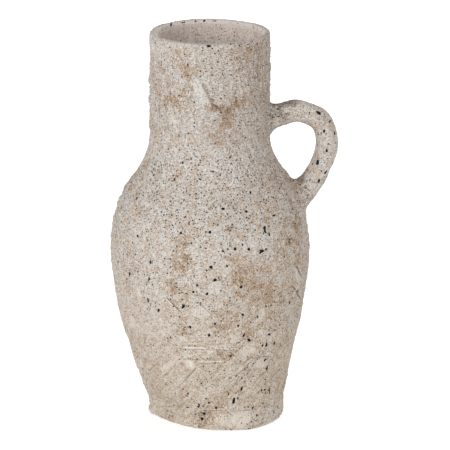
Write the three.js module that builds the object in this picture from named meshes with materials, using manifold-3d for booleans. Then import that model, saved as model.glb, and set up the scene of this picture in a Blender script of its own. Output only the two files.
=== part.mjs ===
// A one-handled stoneware jug, hand built in courses of clay on a thick base slab.
// Each course is keyed into the one below it by a V-shaped ridge and groove, luted with slip,
// and a thin coil is pressed over the seam from inside. The pulled handle is luted to the neck
// and the shoulder, with a clay fillet worked round each root.
// Units are millimetres, +Z is up, and the origin is the middle of the flat foot.
import * as THREE from "three";
import { mergeVertices } from "three/addons/utils/BufferGeometryUtils.js";
import Module from "manifold-3d";

const wasm = await Module();
wasm.setup();

// Outer form
const JUG_HEIGHT = 350;
const FOOT_RADIUS = 61.5;
const FOOT_BEVEL = 1.5;
const BASE_THICKNESS = 14;
const FLANK_SLOPE = 0.26; // outward lean of the wall just above the base
const FLANK_RISE = 50; // how far up that lean holds
const BELLY_RADIUS = 88.5;
const BELLY_HEIGHT = 152;
const BELLY_DROP = 40; // upright stretch below the widest point
const SHOULDER_RISE = 66; // upright stretch above the widest point
const NECK_RADIUS = 53;
const NECK_ROOT_HEIGHT = 262; // where the shoulder has turned into the upright neck
const NECK_SWEEP = 45; // how long the shoulder takes to turn upright
const DRIFT = 7; // the courses drift off the foot's middle as they rise
const DRIFT_HEIGHT = 110; // where the drift ends

// Clay walls and seams
const WALL = 7;
const LOWER_COURSE_HEIGHT = 64;
const BELLY_SEAM_RISE = 10; // height of the belly course's upper seam above the widest point
const NECK_SEAM_DROP = 22; // depth of the neck course's lower seam below the neck's root
const RIM_COIL_HEIGHT = 12;
const SLIP_GAP = 0.3; // thickness of the slip between luted pieces
const KEY_DEPTH = 2.5;
const KEY_SHARE = 0.5; // how much of the wall's thickness a seam's key takes
const SEAM_COIL_HEIGHT = 18;
const SEAM_COIL_THICKNESS = 4;
const SEAM_COIL_EDGE = 0.8;
const BASE_COIL_SIZE = 11;

// Handle
const HANDLE_THICKNESS = 21.5; // seen from the side, at the neck
const HANDLE_FOOT_THICKNESS = 18.5; // the same at the shoulder
const HANDLE_WIDTH = 23; // seen from the handle's end
const HANDLE_TOP_RISE = 10; // height above the neck's root where its middle leaves the neck
const HANDLE_CREST_RISE = 6; // climb from there to the crest
const HANDLE_CREST_REACH = 25; // crest's distance from the neck
const HANDLE_BEND_REACH = 44; // distance from the neck of its upper bend
const HANDLE_BEND_DROP = 3; // how far below its start that bend is
const HANDLE_REACH = 50.5; // furthest distance of its middle from the neck
const HANDLE_REACH_DROP = 23; // how far below its start it is furthest out
const HANDLE_FOOT_RISE = 47; // height above the widest point where its middle lands
const HANDLE_FOOT_LIFT = 22; // height of its last bend above the landing
const HANDLE_FOOT_LEAN = 15; // outward reach of that bend from the landing
const ROOT_DEPTH = 22; // how far inside the wall the roots start before they are cut
const FILLET_LENGTH = 15;
const FILLET_EDGE = 1; // thickness where a fillet feathers onto the handle
const TOP_FILLET_OUTER = 5; // swell above the handle, where it meets the wall
const TOP_FILLET_INNER = 8; // swell under the arch
const TOP_FILLET_SIDE = 6;
const FOOT_FILLET_OUTER = 3;
const FOOT_FILLET_INNER = 14;
const FOOT_FILLET_SIDE = 5;

// Fineness of the faceted solids
const ROUND_STEPS = 40;
const FACET_HEIGHT = 10;
const LIP_STEPS = 6;
const COIL_STEPS = 4;
const HANDLE_STEPS = 22;
const HANDLE_SIDES = 14;
const FILLET_STEPS = 7;

// Finish
const SLIPPED_CLAY = 0xc3b7a8;
const BARE_CLAY = 0xb3a08c;
const CLAY_ROUGHNESS = 0.95;

// Seams, from the top of the base slab to the bottom of the rim coil, and the handle's two ends
const baseSeam = BASE_THICKNESS;
const lowerSeam = BASE_THICKNESS + LOWER_COURSE_HEIGHT;
const bellySeam = BELLY_HEIGHT + BELLY_SEAM_RISE;
const neckSeam = NECK_ROOT_HEIGHT - NECK_SEAM_DROP;
const rimSeam = JUG_HEIGHT - RIM_COIL_HEIGHT;
const handleTop = NECK_ROOT_HEIGHT + HANDLE_TOP_RISE;
const handleFoot = BELLY_HEIGHT + HANDLE_FOOT_RISE;

const spot = (radius, height) => new THREE.Vector2(radius, height);

// The outer outline above the base: a flaring flank, then an ogee shoulder, then the upright neck.
const flank = new THREE.CubicBezierCurve(
  spot(FOOT_RADIUS, BASE_THICKNESS),
  spot(FOOT_RADIUS + FLANK_SLOPE * FLANK_RISE, BASE_THICKNESS + FLANK_RISE),
  spot(BELLY_RADIUS, BELLY_HEIGHT - BELLY_DROP),
  spot(BELLY_RADIUS, BELLY_HEIGHT),
);
const shoulder = new THREE.CubicBezierCurve(
  spot(BELLY_RADIUS, BELLY_HEIGHT),
  spot(BELLY_RADIUS, BELLY_HEIGHT + SHOULDER_RISE),
  spot(NECK_RADIUS, NECK_ROOT_HEIGHT - NECK_SWEEP),
  spot(NECK_RADIUS, NECK_ROOT_HEIGHT),
);

// The radius of a rising curve at a height, found by halving.
function radiusOn(curve, height) {
  let low = 0;
  let high = 1;
  for (let turn = 0; turn < 40; turn++) {
    const middle = (low + high) / 2;
    if (curve.getPoint(middle).y < height) low = middle;
    else high = middle;
  }
  return curve.getPoint(low).x;
}

function outerRadius(height) {
  if (height <= BASE_THICKNESS) return FOOT_RADIUS;
  if (height <= BELLY_HEIGHT) return radiusOn(flank, height);
  if (height <= NECK_ROOT_HEIGHT) return radiusOn(shoulder, height);
  return NECK_RADIUS;
}

// The wall is equally thick square to its slope, so a leaning wall is wider on the level.
function innerRadius(height) {
  const reach = 0.5;
  const slope = (outerRadius(height + reach) - outerRadius(height - reach)) / (2 * reach);
  return outerRadius(height) - WALL * Math.hypot(1, slope);
}

const middleRadius = (height) => (outerRadius(height) + innerRadius(height)) / 2;

function driftAt(height) {
  const below = Math.max(0, 1 - height / DRIFT_HEIGHT);
  return -DRIFT * (1 - below * below);
}

// The heights of a wall course's facet edges, between the seam below it and the seam above.
// The straight neck needs none.
function courseHeights(seamBelow, seamAbove) {
  const bottom = seamBelow + SLIP_GAP;
  const count = Math.max(2, Math.ceil((seamAbove - bottom) / FACET_HEIGHT));
  const even = Array.from({ length: count + 1 }, (_, i) => bottom + ((seamAbove - bottom) * i) / count);
  return even.filter((height, i) => height < NECK_ROOT_HEIGHT || i === count);
}

const facetHeights = [
  ...courseHeights(baseSeam, lowerSeam),
  ...courseHeights(lowerSeam, bellySeam),
  ...courseHeights(bellySeam, neckSeam),
  ...courseHeights(neckSeam, rimSeam),
];

// Points up a wall's inner facets between two heights, one slip gap off the clay.
function againstWall(bottom, top) {
  const between = facetHeights.filter((height) => height > bottom && height < top);
  return [bottom, ...between, top].map((height) => {
    const above = facetHeights.findIndex((edge) => edge >= height);
    const low = facetHeights[Math.max(0, above - 1)];
    const high = facetHeights[above];
    const share = high > low ? (height - low) / (high - low) : 0;
    const radius = THREE.MathUtils.lerp(innerRadius(low), innerRadius(high), share);
    return spot(radius - SLIP_GAP, height);
  });
}

// The V of a keyed seam, from the outer edge to the inner one, with its flat at the given height.
function keyPoints(seam, flat) {
  const middle = middleRadius(seam);
  const halfWidth = (KEY_SHARE * WALL) / 2;
  return [spot(middle + halfWidth, flat), spot(middle, flat - KEY_DEPTH), spot(middle - halfWidth, flat)];
}

// The outline turned once round the jug's axis, with +Z up.
function turned(outline) {
  return new THREE.LatheGeometry(outline, ROUND_STEPS).rotateX(Math.PI / 2);
}

// A named mesh whose own origin is on the jug's drifting centre line at its seat.
function clayPiece(name, geometry, seat, color) {
  const place = geometry.attributes.position;
  for (let i = 0; i < place.count; i++) {
    const height = place.getZ(i);
    place.setXYZ(i, place.getX(i) + driftAt(height) - driftAt(seat), place.getY(i), height - seat);
  }
  geometry.computeVertexNormals();
  const material = new THREE.MeshStandardMaterial({ color, roughness: CLAY_ROUGHNESS, metalness: 0 });
  const mesh = new THREE.Mesh(geometry, material);
  mesh.name = name;
  mesh.position.set(driftAt(seat), 0, seat);
  return mesh;
}

// Base slab: a thick flat disc with a bevelled foot and the groove that takes the first course.
function baseSlab() {
  const outline = [
    spot(0, 0),
    spot(FOOT_RADIUS - FOOT_BEVEL, 0),
    spot(FOOT_RADIUS, FOOT_BEVEL),
    spot(FOOT_RADIUS, BASE_THICKNESS),
    ...keyPoints(baseSeam, BASE_THICKNESS),
    spot(0, BASE_THICKNESS),
  ];
  return clayPiece("base_slab", turned(outline), 0, SLIPPED_CLAY);
}

// One course of wall between two seams: ridge below, groove above.
function wallCourse(name, seamBelow, seamAbove) {
  const heights = courseHeights(seamBelow, seamAbove);
  const bottom = heights[0];
  const outside = heights.map((height) => spot(outerRadius(height), height));
  const inside = heights.map((height) => spot(innerRadius(height), height)).reverse();
  const groove = keyPoints(seamAbove, seamAbove);
  const ridge = keyPoints(seamBelow, bottom).reverse();
  const outline = [...outside, ...groove, ...inside, ...ridge, outside[0]];
  return clayPiece(name, turned(outline), bottom, SLIPPED_CLAY);
}

// Rim coil: the last ring of clay, rolled to a half-round lip.
function rimCoil() {
  const bottom = rimSeam + SLIP_GAP;
  const lip = WALL / 2;
  const lipHeight = JUG_HEIGHT - lip;
  const arc = Array.from({ length: LIP_STEPS + 1 }, (_, i) => {
    const turn = (Math.PI * i) / LIP_STEPS;
    return spot(NECK_RADIUS - lip + lip * Math.cos(turn), lipHeight + lip * Math.sin(turn));
  });
  const foot = spot(NECK_RADIUS, bottom);
  const ridge = keyPoints(rimSeam, bottom).reverse();
  const outline = [foot, ...arc, spot(NECK_RADIUS - WALL, bottom), ...ridge, foot];
  return clayPiece("rim_coil", turned(outline), bottom, SLIPPED_CLAY);
}

// Seam coil: pressed over a seam from inside, thickest on the seam and thin at its edges.
function seamCoil(name, seam) {
  const half = SEAM_COIL_HEIGHT / 2;
  const back = againstWall(seam - half, seam + half);
  const face = Array.from({ length: COIL_STEPS + 1 }, (_, i) => {
    const share = 1 - (2 * i) / COIL_STEPS;
    const height = seam + share * half;
    const bulge = (SEAM_COIL_THICKNESS - SEAM_COIL_EDGE) * (1 - share * share);
    return spot(innerRadius(height) - SLIP_GAP - SEAM_COIL_EDGE - bulge, height);
  });
  return clayPiece(name, turned([...back, ...face, back[0]]), seam, BARE_CLAY);
}

// Base seam coil: a hollow-faced fillet in the corner between the base slab and the first course.
function baseSeamCoil() {
  const bottom = baseSeam + SLIP_GAP;
  const back = againstWall(bottom, bottom + BASE_COIL_SIZE);
  const face = Array.from({ length: COIL_STEPS + 1 }, (_, i) => {
    const share = 1 - i / COIL_STEPS;
    const height = bottom + share * BASE_COIL_SIZE;
    const hollow = BASE_COIL_SIZE * (1 - Math.sqrt(1 - (1 - share) ** 2));
    return spot(innerRadius(height) - SLIP_GAP - SEAM_COIL_EDGE - hollow, height);
  });
  return clayPiece("base_seam_coil", turned([...back, ...face, back[0]]), bottom, BARE_CLAY);
}

// The handle's middle line, in the plane of the jug's axis, from inside the neck to inside the shoulder.
const upright = (reach, height) => new THREE.Vector3(reach, 0, height);
const leaving = upright(NECK_RADIUS, handleTop);
const crest = upright(NECK_RADIUS + HANDLE_CREST_REACH, handleTop + HANDLE_CREST_RISE);
const upperBend = upright(NECK_RADIUS + HANDLE_BEND_REACH, handleTop - HANDLE_BEND_DROP);
const furthest = upright(NECK_RADIUS + HANDLE_REACH, handleTop - HANDLE_REACH_DROP);
const landing = upright(outerRadius(handleFoot), handleFoot);
const lastBend = landing.clone().add(upright(HANDLE_FOOT_LEAN, HANDLE_FOOT_LIFT));
const inNeck = leaving.clone().sub(upright(ROOT_DEPTH, 0));
const inShoulder = landing.clone().add(landing.clone().sub(lastBend).setLength(ROOT_DEPTH));
const handleLine = new THREE.CatmullRomCurve3(
  [inNeck, leaving, crest, upperBend, furthest, lastBend, landing, inShoulder],
  false,
  "centripetal",
);

// One oval ring square to the handle's line, swollen on the arch's outside, on its inside and at its sides.
function handleRing(share, swell) {
  const middle = handleLine.getPointAt(share);
  const along = handleLine.getTangentAt(share);
  const outward = new THREE.Vector3(-along.z, 0, along.x);
  const sideways = new THREE.Vector3(0, 1, 0);
  const thickness = THREE.MathUtils.lerp(HANDLE_THICKNESS, HANDLE_FOOT_THICKNESS, share);
  return Array.from({ length: HANDLE_SIDES }, (_, i) => {
    const turn = (2 * Math.PI * i) / HANDLE_SIDES;
    const across = Math.cos(turn) > 0 ? swell.outer : swell.inner;
    return middle
      .clone()
      .addScaledVector(outward, (thickness / 2 + across) * Math.cos(turn))
      .addScaledVector(sideways, (HANDLE_WIDTH / 2 + swell.side) * Math.sin(turn));
  });
}

// A closed skin over a row of rings, capped by a fan at each end.
function loft(rings) {
  const sides = rings[0].length;
  const corners = rings.flat();
  const faces = [];
  for (let ring = 0; ring + 1 < rings.length; ring++) {
    for (let side = 0; side < sides; side++) {
      const here = ring * sides + side;
      const beside = ring * sides + ((side + 1) % sides);
      faces.push(here, here + sides, beside, beside, here + sides, beside + sides);
    }
  }
  const last = corners.length - sides;
  for (let side = 1; side + 1 < sides; side++) {
    faces.push(0, side, side + 1, last, last + side + 1, last + side);
  }
  return new THREE.BufferGeometry().setFromPoints(corners).setIndex(faces);
}

function solidOf(geometry) {
  const bare = geometry.index ? geometry.toNonIndexed() : geometry.clone();
  bare.deleteAttribute("normal");
  bare.deleteAttribute("uv");
  const merged = mergeVertices(bare, 1e-3);
  const vertProperties = merged.attributes.position.array;
  const triVerts = new Uint32Array(merged.index.array);
  return new wasm.Manifold(new wasm.Mesh({ numProp: 3, vertProperties, triVerts }));
}

function geometryOf(solid) {
  const { vertProperties, triVerts } = solid.getMesh();
  const geometry = new THREE.BufferGeometry();
  geometry.setAttribute("position", new THREE.BufferAttribute(vertProperties, 3));
  return geometry.setIndex(new THREE.BufferAttribute(triVerts, 1));
}

// The jug as a plain solid, one slip gap larger than its walls, for cutting what is luted to them.
function wallClearance() {
  const outside = facetHeights.map((height) => spot(outerRadius(height) + SLIP_GAP, height));
  return solidOf(turned([spot(0, facetHeights[0]), ...outside, spot(0, facetHeights.at(-1))]));
}

function handleSolid(growth) {
  const swell = { outer: growth, inner: growth, side: growth };
  const shares = Array.from({ length: HANDLE_STEPS + 1 }, (_, i) => i / HANDLE_STEPS);
  return solidOf(loft(shares.map((share) => handleRing(share, swell))));
}

// Where the handle's line, followed from one end, comes out of the wall, as a share of its length.
function wallCrossing(fromEnd) {
  let inside = fromEnd;
  let outside = 0.5;
  for (let turn = 0; turn < 40; turn++) {
    const middle = (inside + outside) / 2;
    const point = handleLine.getPointAt(middle);
    if (point.x < outerRadius(point.z)) inside = middle;
    else outside = middle;
  }
  return inside;
}

const largestBody = (solid) => solid.decompose().reduce((a, b) => (a.volume() > b.volume() ? a : b));

// Handle: pulled clay, a little thinner towards its foot, cut at both ends to lie on the wall.
function handle() {
  const cut = largestBody(handleSolid(0).subtract(wallClearance()));
  return clayPiece("handle", geometryOf(cut), handleTop, SLIPPED_CLAY);
}

// Fillet: clay worked round a root, wide on the wall and feathering out along the handle.
function rootFillet(name, fromEnd, full, seat) {
  const towards = fromEnd === 0 ? 1 : -1;
  const crossing = wallCrossing(fromEnd);
  const reach = (towards * FILLET_LENGTH) / handleLine.getLength();
  const feathered = (swell, share) => FILLET_EDGE + (swell - FILLET_EDGE) * (1 - share) ** 3;
  const rings = Array.from({ length: FILLET_STEPS + 1 }, (_, i) => {
    const share = i / FILLET_STEPS;
    const swell = {
      outer: feathered(full.outer, share),
      inner: feathered(full.inner, share),
      side: feathered(full.side, share),
    };
    return handleRing(crossing + share * reach, swell);
  });
  rings.unshift(handleRing(fromEnd, full));
  if (towards < 0) rings.reverse();
  const worked = solidOf(loft(rings)).subtract(handleSolid(SLIP_GAP)).subtract(wallClearance());
  return clayPiece(name, geometryOf(largestBody(worked)), seat, SLIPPED_CLAY);
}

const vessel = new THREE.Group();
vessel.add(baseSlab());
vessel.add(wallCourse("lower_wall", baseSeam, lowerSeam));
vessel.add(wallCourse("belly_wall", lowerSeam, bellySeam));
vessel.add(wallCourse("shoulder_wall", bellySeam, neckSeam));
vessel.add(wallCourse("neck_wall", neckSeam, rimSeam));
vessel.add(rimCoil());

const seamCoils = new THREE.Group();
seamCoils.add(baseSeamCoil());
seamCoils.add(seamCoil("lower_seam_coil", lowerSeam));
seamCoils.add(seamCoil("belly_seam_coil", bellySeam));
seamCoils.add(seamCoil("neck_seam_coil", neckSeam));

const topSwell = { outer: TOP_FILLET_OUTER, inner: TOP_FILLET_INNER, side: TOP_FILLET_SIDE };
const footSwell = { outer: FOOT_FILLET_OUTER, inner: FOOT_FILLET_INNER, side: FOOT_FILLET_SIDE };
const handleGroup = new THREE.Group();
handleGroup.add(handle());
handleGroup.add(rootFillet("handle_top_fillet", 0, topSwell, handleTop));
handleGroup.add(rootFillet("handle_foot_fillet", 1, footSwell, handleFoot));

const jug = new THREE.Group();
jug.add(vessel, seamCoils, handleGroup);

export default jug;
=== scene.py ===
"""A hand-built stoneware jug with one loop handle, under a worn wash of pale slip.

Each clay piece is a fine closed mesh that stands for one solid of the frame. All pieces share
one relief, which depends only on the place on the jug, so the surface runs on across the seams.
Lengths are in millimetres until a mesh is made. The jug stands on the origin, handle on +X.
"""

import math
from collections import namedtuple

import bpy
import numpy as np
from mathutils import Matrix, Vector


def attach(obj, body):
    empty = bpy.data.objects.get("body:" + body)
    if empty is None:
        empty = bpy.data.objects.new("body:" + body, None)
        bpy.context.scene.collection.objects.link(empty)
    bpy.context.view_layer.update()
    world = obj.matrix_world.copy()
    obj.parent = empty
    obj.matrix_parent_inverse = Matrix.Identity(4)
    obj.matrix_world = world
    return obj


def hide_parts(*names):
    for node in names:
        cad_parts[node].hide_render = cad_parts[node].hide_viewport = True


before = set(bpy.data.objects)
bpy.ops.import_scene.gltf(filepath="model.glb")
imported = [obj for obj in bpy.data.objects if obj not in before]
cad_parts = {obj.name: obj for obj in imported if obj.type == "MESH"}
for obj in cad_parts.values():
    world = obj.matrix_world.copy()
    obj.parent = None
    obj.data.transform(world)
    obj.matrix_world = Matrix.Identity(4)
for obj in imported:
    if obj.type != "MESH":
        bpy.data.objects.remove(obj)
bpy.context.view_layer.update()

METRES = 0.001

# Outer form, as in the frame's solids
JUG_HEIGHT = 350
FOOT_RADIUS = 61.5
FOOT_ROUNDING = 1
BASE_THICKNESS = 14
FLANK_SLOPE = 0.26
FLANK_RISE = 50
BELLY_RADIUS = 88.5
BELLY_HEIGHT = 152
BELLY_DROP = 40
SHOULDER_RISE = 66
NECK_RADIUS = 53
NECK_ROOT_HEIGHT = 262
NECK_SWEEP = 45
DRIFT = 7
DRIFT_HEIGHT = 110
WALL = 7
LIP_OUTER_ROUNDING = 2
LIP_INNER_ROUNDING = 3.5

# The foot was cut by hand: it stands out towards some sides and is drawn in towards others
Lobe = namedtuple("Lobe", "out side")
FOOT_LOBES = (
    Lobe(-4.5, math.radians(-116)),
    Lobe(3, math.radians(-64)),
    Lobe(-2.5, math.radians(-5)),
)
FOOT_CUT_HEIGHT = 30

# A lobe rises between these cosines of the turn away from its middle
LOBE_RISE = (0.5, 1)

# Seams between the courses of clay
LOWER_SEAM = 78
BELLY_SEAM = 162
NECK_SEAM = 240
RIM_SEAM = 338
SLIP_GAP = 0.3
KEY_DEPTH = 2.5
KEY_PLACES = np.array((0.25, 0.5, 0.75))
SEAM_COIL_HEIGHT = 18
SEAM_COIL_THICKNESS = 4
BASE_COIL_SIZE = 11
COIL_CLEARANCE = 0.6
COIL_DENTS = 19
COIL_DENT_SHARE = 0.15

# Handle: the bends of its middle line as (distance from the axis, height)
HANDLE_TOP = (NECK_RADIUS, 272)
HANDLE_CREST = (78, 278)
HANDLE_UPPER_BEND = (97, 269)
HANDLE_FURTHEST = (103.5, 249)
HANDLE_FOOT_HEIGHT = 199
HANDLE_FOOT_BEND = (15, 22)
HANDLE_ROOT_DEPTH = 22
HANDLE_THICKNESS = 21.5
HANDLE_FOOT_THICKNESS = 18.5
HANDLE_WIDTH = 23
FILLET_LENGTH = 15
FILLET_TUCK = 0.4
TUCK_SHARPNESS = 4
FILLET_DEPTH = 1.2
Swell = namedtuple("Swell", "outer inner side")
TOP_SWELL = Swell(outer=5, inner=8, side=6)
FOOT_SWELL = Swell(outer=3, inner=14, side=5)

# Fineness of the meshes and curves
COLUMNS = 640
OUTSIDE_STEP = 0.85
INSIDE_STEP = 4
LIP_ROWS = 5
FOOT_ROWS = 5
DISC_ROWS = 16
DISC_HOLE = 2
HANDLE_COLUMNS = 110
HANDLE_STEP = 0.75
FILLET_ROWS = 30
COIL_COLUMNS = 240
COIL_ROWS = 20
CURVE_POINTS = 240
BEND_POINTS = 60
SIGHT_POINTS = 2000
SHARP_EDGE = math.radians(65)

# Materials of a piece, by index
SLIPPED, LINING, BARE = range(3)


# Noise

LATTICE_TURN = np.array(((0.36, 0.48, -0.8), (-0.8, 0.6, 0), (0.48, 0.64, 0.6)))
NOISE_GAIN = 1.6

# Large odd numbers that scatter the corners of a lattice, and the bits that are kept of the result
CORNER_FACTORS = np.array((73856093, 19349663, 83492791), np.uint64)
SEED_FACTOR = 2654435761
FIRST_MIX = np.uint64(2246822519)
LAST_MIX = np.uint64(3266489917)
FOLDED_BITS = np.uint64(29)
DROPPED_BITS = np.uint64(20)
KEPT_BITS = np.uint64(0xFFFF)


def lattice_values(corners, seed):
    """A fixed random number from 0 to 1 for each whole-numbered corner of a lattice."""
    x, y, z = (corners[..., axis].astype(np.uint64) * CORNER_FACTORS[axis] for axis in range(3))
    mixed = (x ^ y ^ z ^ np.uint64(seed * SEED_FACTOR)) * FIRST_MIX
    mixed = (mixed ^ (mixed >> FOLDED_BITS)) * LAST_MIX
    return (mixed >> DROPPED_BITS & KEPT_BITS) / KEPT_BITS


def noise(points, size, seed):
    """Smooth noise from about -1 to 1, with lumps about `size` across."""
    cells = points @ LATTICE_TURN.T / size
    low = np.floor(cells)
    share = cells - low
    share = share**3 * (share * (share * 6 - 15) + 10)
    low = low.astype(np.int64)
    total = np.zeros(len(points))
    for corner in np.ndindex(2, 2, 2):
        weight = np.prod(np.where(corner, share, 1 - share), axis=1)
        total += weight * (2 * lattice_values(low + corner, seed) - 1)
    return total * NOISE_GAIN


def grains(points, spacing, share, smallest, largest, seed):
    """How far each point lies inside the nearest of many scattered round grains, less than 0 outside."""
    cells = points @ LATTICE_TURN.T / spacing
    home = np.floor(cells).astype(np.int64)
    deepest = np.full(len(points), -spacing)
    for step in np.ndindex(3, 3, 3):
        cell = home + step - 1
        centre = cell + np.stack([lattice_values(cell, seed + axis) for axis in range(3)], axis=1)
        radius = smallest + (largest - smallest) * lattice_values(cell, seed + 3) ** 2
        depth = radius - np.linalg.norm(cells - centre, axis=1) * spacing
        present = lattice_values(cell, seed + 4) < share
        deepest = np.where(present, np.maximum(deepest, depth), deepest)
    return deepest


def eased(low, high, value):
    """0 below `low`, 1 above `high`, and a smooth rise between them."""
    share = np.clip((value - low) / (high - low), 0, 1)
    return share * share * (3 - 2 * share)


def kept_in(inside, share):
    """1 outside a zone, falling to the share that is left inside it."""
    return 1 + (share - 1) * inside


# Plain form

def bezier(*controls):
    """Points along the cubic curve with these four control points."""
    a, b, c, d = np.array(controls, float)
    share = np.linspace(0, 1, CURVE_POINTS)[:, None]
    rest = 1 - share
    return a * rest**3 + 3 * b * rest**2 * share + 3 * c * rest * share**2 + d * share**3


OUTLINE = np.vstack((
    ((FOOT_RADIUS, -BASE_THICKNESS),),
    bezier(
        (FOOT_RADIUS, BASE_THICKNESS),
        (FOOT_RADIUS + FLANK_SLOPE * FLANK_RISE, BASE_THICKNESS + FLANK_RISE),
        (BELLY_RADIUS, BELLY_HEIGHT - BELLY_DROP),
        (BELLY_RADIUS, BELLY_HEIGHT),
    ),
    bezier(
        (BELLY_RADIUS, BELLY_HEIGHT),
        (BELLY_RADIUS, BELLY_HEIGHT + SHOULDER_RISE),
        (NECK_RADIUS, NECK_ROOT_HEIGHT - NECK_SWEEP),
        (NECK_RADIUS, NECK_ROOT_HEIGHT),
    )[1:],
    ((NECK_RADIUS, 2 * JUG_HEIGHT),),
))


def outer_radius(height):
    """Radius of the plain outer wall."""
    return np.interp(height, OUTLINE[:, 1], OUTLINE[:, 0])


def outer_slope(height):
    """How fast the outer radius grows with height."""
    reach = 2.5
    return (outer_radius(height + reach) - outer_radius(height - reach)) / (2 * reach)


def inner_radius(height):
    """Radius of the plain inner wall, which lies one wall's thickness in, square to the outer one."""
    return outer_radius(height) - WALL * np.hypot(1, outer_slope(height))


def drift_at(height):
    """How far along X the jug's axis has drifted at this height."""
    below = np.maximum(0, 1 - height / DRIFT_HEIGHT)
    return -DRIFT * (1 - below**2)


def around(count):
    """Even angles round a full turn."""
    return np.linspace(0, 2 * math.pi, count, endpoint=False)


def around_axis(radius, turn, height):
    """Points at this distance and turn about the drifting axis."""
    x = radius * np.cos(turn) + drift_at(height)
    y = radius * np.sin(turn)
    return np.stack(np.broadcast_arrays(x, y, height), axis=-1)


def foot_shift(turn, level):
    """How far the hand-cut foot stands out from a round one."""
    fade = np.maximum(0, 1 - level / FOOT_CUT_HEIGHT) ** 2
    return fade * sum(lobe.out * eased(*LOBE_RISE, np.cos(turn - lobe.side)) for lobe in FOOT_LOBES)


def above_wall(points):
    """How far points lie outside the plain outer wall, on the level."""
    level = points[..., 2]
    across = points[..., 0] - drift_at(level)
    turn = np.arctan2(points[..., 1], across)
    return np.hypot(across, points[..., 1]) - outer_radius(level) - foot_shift(turn, level)


# Marks on the front, as (right, down) in a front view that is 450 pixels wide

VIEW_SIZE = 450
CAMERA_PLACE = np.array((6.2, -2500, 910.8))
CAMERA_PITCH = math.radians(16.44)
CAMERA_LENS = 233.5
SENSOR = 36


def sight_line(right, down):
    """The direction in which the camera sees this pixel."""
    across = (right - VIEW_SIZE / 2) / VIEW_SIZE * SENSOR / CAMERA_LENS
    up = (VIEW_SIZE / 2 - down) / VIEW_SIZE * SENSOR / CAMERA_LENS
    cos, sin = math.cos(CAMERA_PITCH), math.sin(CAMERA_PITCH)
    return np.array((across, cos + up * sin, up * cos - sin))


def seen_at(right, down):
    """The point of the plain outer wall that the camera sees at this pixel."""
    depth = np.linspace(-2 * BELLY_RADIUS, 0, SIGHT_POINTS)[:, None]
    ray = sight_line(right, down)
    points = CAMERA_PLACE + ray / ray[1] * (depth - CAMERA_PLACE[1])
    return points[(above_wall(points) < 0).argmax()]


def seen_on(points, right, down):
    """The one of these points that the camera sees nearest to this pixel."""
    ray = sight_line(right, down)
    ray /= np.linalg.norm(ray)
    offset = points - CAMERA_PLACE
    away = np.linalg.norm(offset - (offset @ ray)[:, None] * ray, axis=1)
    return points[away.argmin()]


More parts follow.
